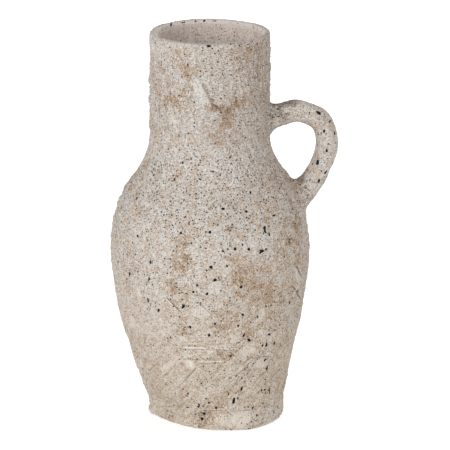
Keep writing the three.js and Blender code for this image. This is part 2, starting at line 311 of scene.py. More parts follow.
# An oval mark: its pixel, its length and width in millimetres, and its lean in degrees
Oval = namedtuple("Oval", "right down long wide lean")
BOLD_PITS = (
    Oval(183, 163, 1.8, 1.8, 0),
    Oval(174, 179, 2.6, 1.6, -40),
    Oval(154, 175, 1.6, 1.6, 0),
    Oval(157, 192, 1.6, 1.6, 0),
    Oval(230, 157, 1.8, 1.8, 0),
    Oval(213, 172, 1.8, 1.8, 0),
    Oval(251, 192, 1.8, 2.4, 0),
    Oval(137, 198, 3, 1.6, 40),
    Oval(223, 209, 1.8, 2.8, 0),
    Oval(247, 211, 1.9, 2.6, 0),
    Oval(210, 232, 2.4, 2.4, 0),
    Oval(181, 233, 1.6, 1.6, 0),
    Oval(138, 236, 2, 1.8, 0),
    Oval(265, 230, 6.2, 2.4, 0),
    Oval(269, 234, 3, 1.6, 0),
    Oval(235, 249, 2.8, 2.8, 0),
    Oval(249, 249, 2.8, 2.8, 0),
    Oval(262, 251, 2.4, 4.4, 10),
    Oval(266, 249, 1.8, 1.6, 0),
    Oval(260, 253, 1.4, 2, 0),
    Oval(223, 251, 1.8, 1.8, 0),
    Oval(120, 261, 2, 1.8, 0),
    Oval(151, 262, 3, 1.6, -30),
    Oval(211, 267, 2.4, 2.4, 0),
    Oval(227, 266, 1.8, 1.8, 0),
    Oval(130, 275, 4, 1.4, 0),
    Oval(149, 279, 3.4, 2, 25),
    Oval(215, 280, 2.8, 2.6, 0),
    Oval(197, 285, 2, 2, 0),
    Oval(241, 287, 2.6, 2.4, 0),
    Oval(193, 292, 2.2, 2, 0),
    Oval(207, 294, 2.8, 1.6, 15),
    Oval(148, 300, 4, 1.6, 0),
    Oval(271, 306, 2, 2, 0),
    Oval(289, 303, 3, 1.6, 20),
    Oval(183, 307, 4.6, 2, 30),
    Oval(159, 310, 3, 1.8, 10),
    Oval(243, 315, 2, 1.6, -20),
    Oval(258, 317, 1.8, 1.6, 0),
    Oval(215, 324, 2, 1.6, 0),
    Oval(238, 326, 2, 1.8, 0),
    Oval(190, 327, 2.4, 2.4, 0),
    Oval(209, 335, 3, 1.8, 0),
    Oval(244, 335, 2.6, 2, 20),
    Oval(249, 340, 3.6, 2.2, -20),
    Oval(269, 330, 2.6, 1.4, 0),
    Oval(269, 334, 2, 2.8, 0),
    Oval(262, 345, 2.6, 1.6, 0),
    Oval(266, 345, 3, 2.8, 0),
    Oval(274, 343, 3.2, 1.6, 15),
    Oval(231, 356, 2.4, 1.6, 0),
    Oval(265, 360, 2.8, 1.8, 20),
    Oval(267, 368, 3.4, 1.4, -5),
    Oval(242, 378, 2.6, 1.6, 0),
    Oval(242, 389, 4.6, 1.8, 10),
    Oval(234, 401, 6.2, 2.2, 12),
    Oval(265, 390, 1.6, 2.6, 0),
    Oval(262, 390, 2, 1.5, 0),
    Oval(266, 393, 2.2, 1.8, 0),
    Oval(270, 390, 2.2, 1.3, 30),
    Oval(270, 393, 2.6, 1.4, 0),
    Oval(278, 408, 3.6, 1.3, 0),
    Oval(274, 412, 2.2, 1.5, 0),
    Oval(253, 408, 2, 1.6, 0),
    Oval(257, 415, 1.8, 1.6, 0),
    Oval(229, 394, 3.2, 1.3, 0),
    Oval(238, 399, 1.8, 1.6, 0),
    Oval(206, 399, 1.7, 1.6, 0),
    Oval(209, 403, 1.7, 1.6, 0),
    Oval(199, 405, 1.6, 1.6, 0),
    Oval(198, 407, 1.7, 1.6, 0),
    Oval(203, 406, 1.6, 2.2, 0),
    Oval(187, 396, 1.4, 2, 0),
    Oval(187, 408, 1.8, 1.8, 0),
    Oval(188, 394, 2.4, 1.8, 0),
    Oval(216, 409, 2.4, 1.6, 0),
    Oval(204, 414, 2.8, 3, 0),
    Oval(202, 419, 3.2, 2, 0),
)
HANDLE_PITS = (
    Oval(319, 113, 1.8, 4.4, 35),
    Oval(324, 131, 3, 2, 20),
    Oval(331, 121, 1.6, 2, 0),
    Oval(335, 133, 2.2, 1.6, 0),
    Oval(328, 144, 1.6, 1.6, 0),
    Oval(327, 150, 3.4, 1.4, 0),
    Oval(317, 163, 4.2, 2.4, 14),
    Oval(326, 172, 3.2, 1.2, 25),
    Oval(319, 180, 2.4, 1.4, 25),
)
RIM_PITS = (
    Oval(209, 42, 1.8, 3.6, 0),
    Oval(171, 25, 2.4, 1.8, 0),
    Oval(182, 21, 0.8, 1.2, 0),
    Oval(184, 20, 0.8, 1, 0),
    Oval(196, 23, 0.9, 1.6, 0),
    Oval(204, 22, 1.1, 2.8, -15),
    Oval(215, 20, 0.8, 4, 0),
)

# A patch: its pixel, how far it reaches in millimetres, and how strong it is
Stain = namedtuple("Stain", "right down reach depth")
STAINS = (
    Stain(176, 54, 6, 0.6),
    Stain(183, 65, 6, 0.65),
    Stain(190, 73, 5, 0.65),
    Stain(161, 69, 5, 0.6),
    Stain(153, 80, 6, 0.5),
    Stain(189, 87, 3, 0.6),
    Stain(181, 95, 5, 0.6),
    Stain(165, 102, 6, 0.8),
    Stain(174, 103, 6, 0.8),
    Stain(186, 103, 5, 0.8),
    Stain(186, 111, 3, 0.6),
    # These two paint the shadow under the edge of the fold on the neck
    Stain(208, 91, 1.5, 0.8),
    Stain(213, 100, 1.5, 1),
    Stain(262, 60, 4, 0.4),
    Stain(263, 92, 4, 0.4),
    Stain(152, 62, 3, 0.6),
    Stain(216, 106, 2.5, 1.2),
    Stain(222, 108, 3, 1.2),
    Stain(229, 109, 4, 1.2),
    Stain(237, 105, 4, 1.2),
    Stain(233, 97, 3, 0.9),
    Stain(225, 117, 4, 1),
    Stain(227, 125, 3, 1),
    Stain(210, 138, 3, 0.6),
    Stain(224, 140, 4, 0.5),
    Stain(242, 51, 5, 0.45),
    Stain(252, 48, 6, 0.7),
    Stain(261, 45, 6, 0.75),
    Stain(263, 76, 5, 0.35),
    Stain(241, 69, 5, 0.35),
    Stain(256, 70, 4, 0.5),
    Stain(258, 80, 3, 0.5),
    Stain(251, 90, 3, 0.4),
    Stain(172, 168, 4, 0.5),
    Stain(204, 160, 4, 0.5),
    Stain(133, 181, 4, 0.7),
    Stain(143, 208, 3, 0.5),
    Stain(229, 230, 4, 0.8),
    Stain(266, 220, 5, 0.8),
    Stain(286, 221, 6, 0.9),
    Stain(289, 242, 6, 0.95),
    Stain(285, 251, 4, 0.7),
    Stain(182, 245, 5, 1),
    Stain(189, 236, 4, 0.5),
    Stain(176, 262, 4, 1.1),
    Stain(181, 267, 4, 1.3),
    Stain(186, 260, 4, 1.2),
    Stain(173, 285, 4, 1.1),
    Stain(230, 276, 6, 0.5),
    Stain(244, 271, 8, 1),
    Stain(252, 283, 10, 0.8),
    Stain(298, 256, 7, 0.6),
    Stain(290, 290, 8, 0.5),
    Stain(276, 315, 7, 0.65),
    Stain(264, 286, 7, 0.7),
    Stain(242, 296, 6, 0.9),
    Stain(268, 302, 7, 0.75),
    Stain(280, 270, 5, 0.7),
    Stain(283, 299, 5, 0.9),
    Stain(232, 304, 5, 0.6),
    Stain(218, 312, 5, 0.6),
    Stain(250, 316, 7, 0.8),
    Stain(231, 325, 6, 0.7),
    Stain(218, 330, 6, 1.1),
    Stain(185, 329, 4, 1.2),
    Stain(246, 335, 6, 0.8),
    Stain(254, 343, 6, 0.5),
    Stain(274, 343, 4, 0.8),
    Stain(176, 346, 3, 0.9),
    Stain(221, 354, 4, 0.9),
    Stain(230, 356, 3, 0.8),
    Stain(238, 362, 3, 0.7),
    Stain(227, 393, 3, 0.5),
    Stain(241, 392, 4, 0.6),
    Stain(218, 402, 4, 0.4),
    Stain(168, 401, 6, 0.7),
    Stain(179, 407, 6, 0.7),
    Stain(166, 412, 6, 0.8),
    Stain(151, 409, 4, 1.5),
    Stain(197, 414, 5, 1.2),
    Stain(205, 413, 6, 1.4),
    Stain(205, 421, 6, 1.4),
    Stain(211, 417, 4, 1.4),
    Stain(212, 424, 3, 1.2),
    Stain(198, 423, 4, 1.1),
    Stain(262, 172, 6, 0.45),
    Stain(275, 181, 6, 0.45),
    Stain(287, 191, 6, 0.5),
    Stain(292, 206, 5, 0.7),
    Stain(258, 206, 5, 0.5),
    Stain(296, 226, 5, 0.9),
    Stain(300, 240, 5, 0.6),
    Stain(279, 212, 4, 0.5),
    Stain(126, 265, 4, 0.6),
    Stain(128, 280, 4, 0.7),
    Stain(172, 300, 3, 0.6),
    Stain(180, 317, 3, 0.7),
    Stain(240, 280, 6, 1),
    Stain(222, 319, 6, 0.7),
    Stain(236, 318, 6, 0.7),
    Stain(281, 391, 4, 0.8),
    Stain(190, 404, 5, 0.5),
    Stain(157, 401, 5, 0.5),
    Stain(238, 46, 5, 0.55),
    Stain(255, 300, 6, 0.7),
    Stain(262, 326, 6, 0.6),
    Stain(236, 262, 5, 0.6),
)
# Dark grime and painted shade in the crooks where the handle's roots meet the wall
ROOT_GRIME_AND_SHADE = (
    Stain(272, 106, 10, 1),
    Stain(280, 101, 10, 1),
    Stain(290, 99, 9, 1),
    Stain(298, 181, 8, 1),
    Stain(290, 186, 7, 1),
)

SLIP_PLATES = (
    Oval(139, 294, 9, 4, 15),
    Oval(298, 276, 22, 9, -12),
    Oval(189, 364, 8, 10, 20),
    Oval(234, 420, 14, 34, 0),
    Oval(240, 368, 5, 6, -40),
    Oval(261, 363, 10, 14, 0),
    Oval(216, 288, 12, 14, 0),
    Oval(202, 313, 12, 16, 0),
    Oval(261, 315, 13, 10, 0),
    Oval(199, 93, 20, 6, -28),
    Oval(213, 116, 8, 7, 0),
    Oval(228, 131, 6, 6, 0),
    Oval(185, 82, 4, 7, 0),
)

# A tool's stroke between two pixels: its width in millimetres, and its tone, less than 0 where dark
Stroke = namedtuple("Stroke", "start end width tone")
# Besides the tool's marks, their colours paint shade in the grooves and highlights on the raised edges
STROKES = (
    Stroke((166, 296), (182, 313), 0.6, -0.9),
    Stroke((165, 297), (178, 311), 0.4, 0.6),
    Stroke((197, 301), (212, 315), 0.4, -0.6),
    # The next two paint the shadow under the edge of the fold on the neck, and a highlight along it
    Stroke((202, 84), (212, 104), 1.3, -0.35),
    Stroke((199, 82), (209, 102), 1.2, 0.3),
    Stroke((264, 47), (263, 72), 0.5, 0.5),
    Stroke((261, 60), (261, 92), 0.5, 0.4),
    Stroke((258, 52), (257, 76), 0.6, -0.35),
    Stroke((262, 62), (262, 75), 0.5, -0.35),
    # This one paints the shadow where the edge of the neck fold runs out
    Stroke((211, 103), (222, 111), 0.9, -0.7),
    Stroke((137, 287), (141, 297), 0.9, 0.7),
    Stroke((192, 268), (222, 267), 0.4, 0.5),
    Stroke((196, 270), (220, 269), 0.3, -0.4),
    Stroke((160, 361), (149, 371), 0.4, -0.4),
    Stroke((172, 369), (165, 376), 0.4, -0.3),
    Stroke((197, 367), (186, 379), 0.6, -0.6),
    Stroke((189, 376), (178, 388), 0.4, -0.5),
    Stroke((221, 367), (202, 387), 0.4, -0.4),
    Stroke((222, 369), (203, 389), 0.4, 0.6),
    Stroke((247, 365), (235, 376), 0.5, -0.5),
    Stroke((239, 373), (226, 386), 0.4, -0.4),
    Stroke((241, 373), (228, 386), 0.4, 0.6),
    Stroke((271, 366), (250, 385), 0.4, -0.5),
    Stroke((282, 367), (265, 383), 0.4, -0.4),
    # The next five paint highlights along the edges of the flake at the right of the belly, and shade beside
    # them
    Stroke((295, 265), (301, 278), 0.7, -0.9),
    Stroke((294, 268), (297, 286), 0.6, 0.9),
    Stroke((297, 286), (294, 292), 0.6, 0.8),
    Stroke((291, 285), (300, 300), 0.7, -0.9),
    Stroke((284, 260), (287, 256), 0.5, 0.7),
    Stroke((178, 333), (200, 333), 0.3, -0.4),
    Stroke((180, 335), (198, 336), 0.3, 0.5),
    Stroke((184, 338), (212, 337), 0.3, -0.4),
    Stroke((196, 340), (220, 339), 0.3, 0.5),
    Stroke((180, 342), (205, 341), 0.3, -0.4),
    Stroke((186, 343), (204, 344), 0.3, 0.4),
    Stroke((205, 344), (232, 343), 0.3, -0.4),
    Stroke((222, 348), (241, 349), 0.4, 0.8),
    Stroke((222, 350), (240, 351), 0.3, -0.4),
    Stroke((187, 361), (195, 364), 1.2, 0.6),
    Stroke((190, 363), (193, 368), 1.2, 0.6),
    Stroke((180, 345), (214, 346), 0.3, -0.4),
    Stroke((182, 347), (208, 348), 0.6, 0.9),
    Stroke((186, 349), (206, 350), 0.3, -0.5),
    Stroke((195, 350), (217, 351), 0.4, 0.7),
    Stroke((178, 358), (225, 358), 0.3, -0.5),
    Stroke((176, 360), (196, 361), 0.4, 0.5),
    Stroke((196, 361), (225, 361), 0.5, 0.9),
    Stroke((199, 363), (216, 363), 0.3, -0.4),
    Stroke((179, 334), (197, 335), 0.3, -0.4),
    Stroke((204, 330), (218, 329), 0.4, 0.4),
    Stroke((244, 358), (270, 356), 0.4, -0.6),
    Stroke((156, 406), (190, 406), 0.4, -0.4),
    Stroke((180, 407), (194, 406), 0.4, 0.5),
    Stroke((190, 408), (262, 408), 0.4, -0.5),
    Stroke((195, 409), (228, 409), 0.4, 0.5),
    Stroke((221, 406), (234, 417), 0.5, -0.5),
    Stroke((224, 407), (236, 417), 0.4, 0.6),
)

# A fold of clay between two pixels, and its height in millimetres
Fold = namedtuple("Fold", "start end height")
FOLDS = (
    Fold((194, 70), (214, 108), 1.7),
    Fold((295, 268), (298, 292), 0.6),
)

# Larger crumbs that stand out of the wall: their side in degrees, their height on the jug and their size
Crumb = namedtuple("Crumb", "side level tall out")
CRUMBS = (
    Crumb(180, 307, 6, 1.2),
    Crumb(180, 289, 5, 1.1),
    Crumb(180, 266, 7, 0.7),
    Crumb(180, 210, 6, 1.3),
    Crumb(180, 198, 3, 1.2),
    Crumb(180, 193, 2.5, 0.9),
    Crumb(180, 180, 3, 0.7),
    Crumb(180, 164, 3, 0.6),
    Crumb(180, 140, 3, 0.6),
    Crumb(180, 112, 3, 0.7),
    Crumb(180, 100, 3, 0.8),
    Crumb(192, 3, 7, 3.2),
    Crumb(0, 334, 3, 0.9),
    Crumb(0, 318, 5, 0.8),
    Crumb(0, 163, 4, 0.7),
    Crumb(0, 124, 4, 0.6),
)


# Relief of the clay

FAR = 2
LUMP_HEIGHT = 0.45
RIPPLE_HEIGHT = 0.45
RIDGE_HEIGHT = 0.35
CRUST_HEIGHT = 0.36
CRUST_STREAKS = 0.4
GRIT_HEIGHT = 0.75
NUB_HEIGHT = 1.3
PLATE_HEIGHT = 0.25
PIT_DEPTH = 0.9
STROKE_DEPTH = 0.15
STROKE_LIFT = 15
FOLD_RISE = 14
FOLD_DROP = 1.6
CRUMB_REACH = 6
CRUMB_RAGGEDNESS = 0.3
PIT_RAGGEDNESS = 0.3
PLATE_RAGGEDNESS = 0.5
LEAST_RAGGED = 0.4
HALO_SPREAD = 2.2
HALO_SHARE = 0.4
LIP_POLISH = 0.6

# Ways round the jug: to the camera, to the calm side of the neck, and to where the slip is thickest
TO_FRONT = -math.pi / 2
CALM_SIDE = math.radians(-52)
SLIP_SIDE = math.radians(-140)

# How much of the crust is left in each zone
SMOOTHED_CRUST = 0.5
LIP_CRUST = 0.15
CALM_CRUST = 0.5
HANDLE_CRUST = 0.25

# What the hand drew out: how far it leans for each step up, at the middle radius, and its stretch
MIDDLE_RADIUS = 70
NECK_DRAG = 0.6
FLANK_DRAG = -0.9
STREAK_STRETCH = 4
RIDGE_STRETCH = 2.2
EVEN_LUMPS = 1.5

# Zones of the jug: each fades in from its first height to its second
FOOT_ZONE = (30, 12)
FLANK_ZONE = (110, 70)
ROUGH_ZONE = (70, 130)
SHOULDER_ZONE = (165, 200)
SHOULDER_END = (262, 235)
NECK_ZONE = (245, 270)
LIP_ZONE = (342, JUG_HEIGHT)
DRAGGED_FLANK = (140, 80)
DRAGGED_NECK = (225, 265)
PLATED_FLANK = (170, 90)
PITLESS_NECK = (240, 265)

# Zones by y, by the distance off the wall, and by the cosine of the turn from the calm side
FRONT_ZONE = (30, 0)
BACK_ZONE = (-40, 20)
OFF_WALL = (2, 6)
CALM_SPREAD = (0.6, 0.85)

# Soft edges: each mark fades in from its first value to its second
PIT_EDGE = (-0.3, 0.9)
PLATE_EDGE = (-0.2, 0.2)
PATCH_EDGE = (1.5, 0.1)
STROKE_EDGE = (1.4, 0.3)
CRUMB_EDGE = (1.3, 0.9)
GRIT_EDGE = (-0.5, 0.6)
NUB_EDGE = (-0.3, 1)
NUB_CLUSTERS = (0, 0.5)
HOLLOW_EDGE = (0.5, -0.9)
STAIN_EDGE = (0.1, 1)
FOLD_START = (-0.05, 0.2)
FOLD_END = (1.05, 0.8)

# Scattered plates of slip: how much they vary, how rare they are, and where there are more
PLATE_SWING = 1.6
PLATE_RARITY = 2.2
FLANK_PLATES = 0.6
HANDLE_PLATE = 0.7

# The wash of slip: how much thicker it lies towards one side, and in each zone
SLIP_LEAN = 0.4
NECK_SLIP_LEAN = 0.2
FLANK_SLIP_LEAN = -0.28
SLIP_CLOUDS = 0.2
FOLD_SLIP = 0.5
LIP_SLIP = 0.2
CALM_SLIP = -0.45
FOOT_SLIP = 1.1
HANDLE_SLIP = 1

# Hollows without slip, and stains: how much of them is left in each zone
LIP_HOLLOWS = 0.5
CALM_HOLLOWS = 0.3
FRONT_STAIN = 0.3
BACK_STAIN = 0.7
LIP_STAIN = 0.3
HANDLE_STAIN = 0.3

# Iron specks: how crowded they are, and how much more so in each zone
SPECKS = 0.28
SPECK_CLOUDS = 0.15
SIDE_SPECKS = 0.27
SHOULDER_SPECKS = 0.75
FLANK_SPECKS = -0.2
FOOT_SPECKS = 0.45
NECK_SPECKS = -0.1
CALM_SPECKS = 0.14
GRIME_AND_SHADE_SPECKS = 0.5

# How many of the specks are left under plates of slip, and on the handle
PLATE_SPECKS = 0.3
HANDLE_SPECKS = 0.35

# The handle roots' grime also carries painted shade
Relief = namedtuple("Relief", "height slip worn stain grime pit plate specks")
NO_RELIEF = Relief(height=0, slip=0, worn=0, stain=0, grime=0, pit=-FAR, plate=-FAR, specks=0)
Zones = namedtuple("Zones", "neck calm shoulder flank foot lip")
Texture = namedtuple("Texture", "drag ridges fine ragged")


def oval_depth(points, mark, centre, spoke):
    """How far points lie inside an oval mark, less than 0 outside; its wall faces along `spoke`."""
    offset = points - centre
    lean = math.radians(mark.lean)
    sideways = offset @ (-math.sin(spoke), math.cos(spoke), 0)
    upward = offset[:, 2]
    along = (upward * math.cos(lean) + sideways * math.sin(lean)) / mark.long
    across = (sideways * math.cos(lean) - upward * math.sin(lean)) / mark.wide
    depth = (1 - 2 * np.hypot(along, across)) * mark.wide / 2
    near = np.linalg.norm(offset, axis=1) < 2 * max(mark.long, mark.wide)
    return np.where(near, np.maximum(depth, -FAR), -FAR)


def marked_wall(mark):
    """Where a mark's middle lies on the plain wall, and the way that the wall faces there."""
    centre = seen_at(mark.right, mark.down)
    return centre, math.atan2(centre[1], centre[0] - drift_at(centre[2]))


def stroke_frame(stroke):
    """A stroke laid flat against the wall: its start, its way, and the way that the wall faces."""
    start, end = seen_at(*stroke.start), seen_at(*stroke.end)
    middle = (start + end) / 2
    facing = np.array((middle[0] - drift_at(middle[2]), middle[1], 0))
    facing /= np.linalg.norm(facing)
    way = end - start
    return start, way - way @ facing * facing, facing


def stroke_distance(points, stroke):
    """Distance of points from a tool's stroke, along the wall."""
    start, way, facing = stroke_frame(stroke)
    offset = points - start
    lift = offset @ facing
    offset = offset - lift[:, None] * facing
    share = np.clip(offset @ way / (way @ way), 0, 1)
    away = np.linalg.norm(offset - share[:, None] * way, axis=1)
    return np.where(np.abs(lift) < STROKE_LIFT, away, FAR)


def groove_depth(points):
    """How deep the dark strokes cut in, less than 0 where the pale ones stand out."""
    return -sum(mark.tone * eased(*STROKE_EDGE, stroke_distance(points, mark)) for mark in STROKES)


def fold_height(points, fold):
    """Height of a fold of clay, which rises slowly to its edge and drops away past it."""
    start, way, facing = stroke_frame(fold)
    offset = points - start
    share = offset @ way / (way @ way)
    aside = offset @ np.cross(facing, way) / np.linalg.norm(way)
    taper = eased(*FOLD_START, share) * eased(*FOLD_END, share)
    taper = taper * (np.abs(offset @ facing) < STROKE_LIFT)
    return fold.height * taper * eased(-FOLD_RISE, 0, aside) * eased(FOLD_DROP, 0, aside)


def crumb_height(points, turn, ragged):
    """Height of the larger crumbs over the wall."""
    height = np.zeros(len(points))
    for crumb in CRUMBS:
        upward = (points[:, 2] - crumb.level) / crumb.tall * 2
        apart = np.angle(np.exp(1j * (turn - math.radians(crumb.side))))
        sideways = apart * outer_radius(crumb.level) / CRUMB_REACH
        shape = eased(*CRUMB_EDGE, np.hypot(upward, sideways) + ragged)
        height = np.maximum(height, crumb.out * shape)
    return height


def dragged(points, turn, size, stretch, seed):
    """Noise drawn out by the hand: leaning on the neck and on the flank, and even between them."""
    level = points[:, 2]
    neck = eased(*DRAGGED_NECK, level)
    flank = eased(*DRAGGED_FLANK, level)
    marks = (1 - neck - flank) * noise(points, EVEN_LUMPS * size, seed)
    for weight, lean in ((neck, NECK_DRAG), (flank, FLANK_DRAG)):
        twisted = turn + level * lean / MIDDLE_RADIUS
        drawn_out = np.stack([
            np.cos(twisted) * MIDDLE_RADIUS,
            np.sin(twisted) * MIDDLE_RADIUS,
            level / stretch,
        ], axis=1)
        marks += weight * noise(drawn_out, size, seed)
    return marks


def pit_field(points):
    """How far points lie inside the nearest pit: a scattered one, or one of those placed on the front."""
    kept_off = np.maximum(eased(*PITLESS_NECK, points[:, 2]), eased(*OFF_WALL, above_wall(points)))
    small = grains(points, spacing=9, share=0.25, smallest=0.4, largest=1.2, seed=31)
    large = grains(points, spacing=20, share=0.6, smallest=0.5, largest=2, seed=35)
    pit = np.maximum(small - FAR * kept_off, large - FAR * eased(*FRONT_ZONE, points[:, 1]))
    placed = [(mark, *marked_wall(mark)) for mark in BOLD_PITS]
    placed += [(mark, seen_on(handle_front, mark.right, mark.down), TO_FRONT) for mark in HANDLE_PITS]
    placed += [(mark, seen_on(lip_edge, mark.right, mark.down), TO_FRONT) for mark in RIM_PITS]
    for mark, centre, spoke in placed:
        pit = np.maximum(pit, oval_depth(points, mark, centre, spoke))
    return np.maximum(pit + PIT_RAGGEDNESS * noise(points, size=1.7, seed=32), -FAR)


def plate_field(points, turn):
    """How far points lie inside a smooth plate of slip."""
    ragged = PLATE_RAGGEDNESS * noise(points, size=3, seed=62)
    plate = PLATE_SWING * dragged(points, turn, size=9, stretch=RIDGE_STRETCH, seed=61)
    plate += ragged - PLATE_RARITY + FLANK_PLATES * eased(*PLATED_FLANK, points[:, 2])
    for mark in SLIP_PLATES:
        plate = np.maximum(plate, oval_depth(points, mark, *marked_wall(mark)) + ragged)
    return np.clip(plate, -FAR, FAR)


def patches(points, marks, centres, ragged, spread=1):
    """Each patch's depth in its middle, fading to 0 past its ragged edge."""
    cover = np.zeros(len(points))
    for mark, centre in zip(marks, centres):
        away = np.linalg.norm(points - centre, axis=1) / (mark.reach * spread)
        away = away * np.maximum(LEAST_RAGGED, 1 + ragged)
        cover = np.maximum(cover, mark.depth * eased(*PATCH_EDGE, away))
    return cover


def zones_at(points, turn):
    """How deep points lie in each zone of the jug, from 0 to 1."""
    level = points[:, 2]
    neck = eased(*NECK_ZONE, level)
    return Zones(
        neck=neck,
        calm=neck * eased(*CALM_SPREAD, np.cos(turn - CALM_SIDE)),
        shoulder=eased(*SHOULDER_ZONE, level) * eased(*SHOULDER_END, level),
        flank=eased(*FLANK_ZONE, level),
        foot=eased(*FOOT_ZONE, level),
        lip=eased(*LIP_ZONE, level),
    )


def texture_at(points, turn):
    """The noise that several marks share: streaks, ridges, fine lumps and ragged edges."""
    drag = dragged(points, turn, size=2, stretch=STREAK_STRETCH, seed=51)
    ridged = dragged(points, turn, size=6, stretch=RIDGE_STRETCH, seed=52)
    fine = 0.5 * noise(points, size=4.2, seed=11) + 0.5 * noise(points, size=2.1, seed=12)
    ragged = 0.4 * noise(points, size=11, seed=20) + 0.45 * noise(points, size=4.5, seed=21)
    return Texture(drag=drag, ridges=1 - 2 * np.abs(ridged), fine=fine, ragged=ragged + 0.3 * drag)


def crust_height(points, texture):
    """Height of the rough crust where no slip smooths it: fine lumps, grit and nubs."""
    grit = eased(*GRIT_EDGE, grains(points, spacing=2.8, share=0.45, smallest=0.2, largest=1, seed=41))
    nubs = eased(*NUB_EDGE, grains(points, spacing=5, share=0.5, smallest=0.5, largest=1.4, seed=43))
    nubs *= eased(*NUB_CLUSTERS, noise(points, size=26, seed=44))
    lumps = texture.fine + CRUST_STREAKS * texture.drag
    return CRUST_HEIGHT * lumps + GRIT_HEIGHT * grit + NUB_HEIGHT * nubs


def lip_polish(points, lip):
    """How much of the relief is rubbed off the lip: a part of it outside, and all of it inside."""
    radius = np.hypot(points[:, 0] - drift_at(points[:, 2]), points[:, 1])
    turned_in = eased(NECK_RADIUS - LIP_OUTER_ROUNDING, NECK_RADIUS - WALL, radius)
    return lip * (LIP_POLISH + (1 - LIP_POLISH) * turned_in)


def slip_at(points, turn, zones, folds):
    """How thick the wash of slip lies, over or under its usual thickness."""
    lean = SLIP_LEAN + NECK_SLIP_LEAN * zones.neck + FLANK_SLIP_LEAN * zones.flank
    return (
        lean * np.cos(turn - SLIP_SIDE)
        + SLIP_CLOUDS * noise(points, size=34, seed=16)
        + FOLD_SLIP * folds
        + LIP_SLIP * zones.lip
        + CALM_SLIP * zones.calm
        + FOOT_SLIP * zones.foot
    )


def hollows_at(zones, texture, plated):
    """Where the slip missed the hollows between the ridges."""
    low = eased(*HOLLOW_EDGE, texture.fine + 0.6 * texture.drag + 0.7 * texture.ridges)
    return (1 - plated) * low * kept_in(zones.lip, LIP_HOLLOWS) * kept_in(zones.calm, CALM_HOLLOWS)


def stain_at(points, zones, ragged):
    """How strong the stains are: scattered ones, mostly at the back, and those placed on the front."""
    clouds = 0.4 * noise(points, size=30, seed=18) + 0.4 * noise(points, size=9, seed=19) + 0.3 * ragged
    strength = FRONT_STAIN + (BACK_STAIN - FRONT_STAIN) * eased(*BACK_ZONE, points[:, 1])
    scattered = eased(*STAIN_EDGE, clouds) * strength * (1 - zones.calm)
    centres = [seen_at(mark.right, mark.down) for mark in STAINS]
    core = patches(points, STAINS, centres, ragged)
    halo = patches(points, STAINS, centres, ragged, HALO_SPREAD)
    placed = (1 - HALO_SHARE) * core + HALO_SHARE * halo
    return np.maximum(scattered, placed) * kept_in(zones.lip, LIP_STAIN)


def specks_at(points, turn, zones, grime, plated):
    """How crowded the iron specks are; plates of slip hide most of those under them."""
    crowding = (
        SPECKS
        + SPECK_CLOUDS * noise(points, size=40, seed=71)
        + SIDE_SPECKS * np.abs(np.cos(turn))
        + SHOULDER_SPECKS * zones.shoulder
        + FLANK_SPECKS * zones.flank
        + FOOT_SPECKS * zones.foot
        + NECK_SPECKS * zones.neck
        + CALM_SPECKS * zones.calm
        + GRIME_AND_SHADE_SPECKS * grime
    )
    return crowding * kept_in(plated, PLATE_SPECKS)


def clay_relief(points, crust):
    """The clay's height over its plain form, and what covers it, at each outside point."""
    turn = np.arctan2(points[:, 1], points[:, 0] - drift_at(points[:, 2]))
    zones = zones_at(points, turn)
    texture = texture_at(points, turn)
    # Grime and painted shade in the crooks where the handle's roots meet the wall
    roots = [seen_on(handle_front, mark.right, mark.down) for mark in ROOT_GRIME_AND_SHADE]
    grime = patches(points, ROOT_GRIME_AND_SHADE, roots, texture.ragged)
    crust = np.maximum(crust, grime) * kept_in(zones.calm, CALM_CRUST)
    pit = pit_field(points)
    plate = plate_field(points, turn) - FAR * grime
    plated = eased(*PLATE_EDGE, plate)
    folds = sum(fold_height(points, fold) for fold in FOLDS)

    height = LUMP_HEIGHT * noise(points, size=46, seed=14) + RIDGE_HEIGHT * texture.ridges + folds
    height += RIPPLE_HEIGHT * dragged(points, turn, size=14, stretch=STREAK_STRETCH, seed=15)
    height += crust * (1 - plated) * crust_height(points, texture)
    height += crust * crumb_height(points, turn, CRUMB_RAGGEDNESS * texture.fine)
    height += PLATE_HEIGHT * plated - PIT_DEPTH * eased(*PIT_EDGE, pit)
    height -= STROKE_DEPTH * groove_depth(points)
    return Relief(
        height=height * (1 - lip_polish(points, zones.lip)),
        slip=slip_at(points, turn, zones, folds),
        worn=hollows_at(zones, texture, plated),
        stain=stain_at(points, zones, texture.ragged),
        grime=grime,
        pit=pit,
        plate=plate,
        specks=specks_at(points, turn, zones, grime, plated),
    )


# Meshes

def grid_faces(rows, columns, closed):
    """Faces of a grid of rings, as corner (row, column) pairs that don't wrap round."""
    row, column = np.meshgrid(np.arange(rows if closed else rows - 1), np.arange(columns), indexing="ij")
    corners = [(row, column), (row, column + 1), (row + 1, column + 1), (row + 1, column)]
    return np.stack([np.stack(corner, axis=-1) for corner in corners], axis=2).reshape(-1, 4, 2)


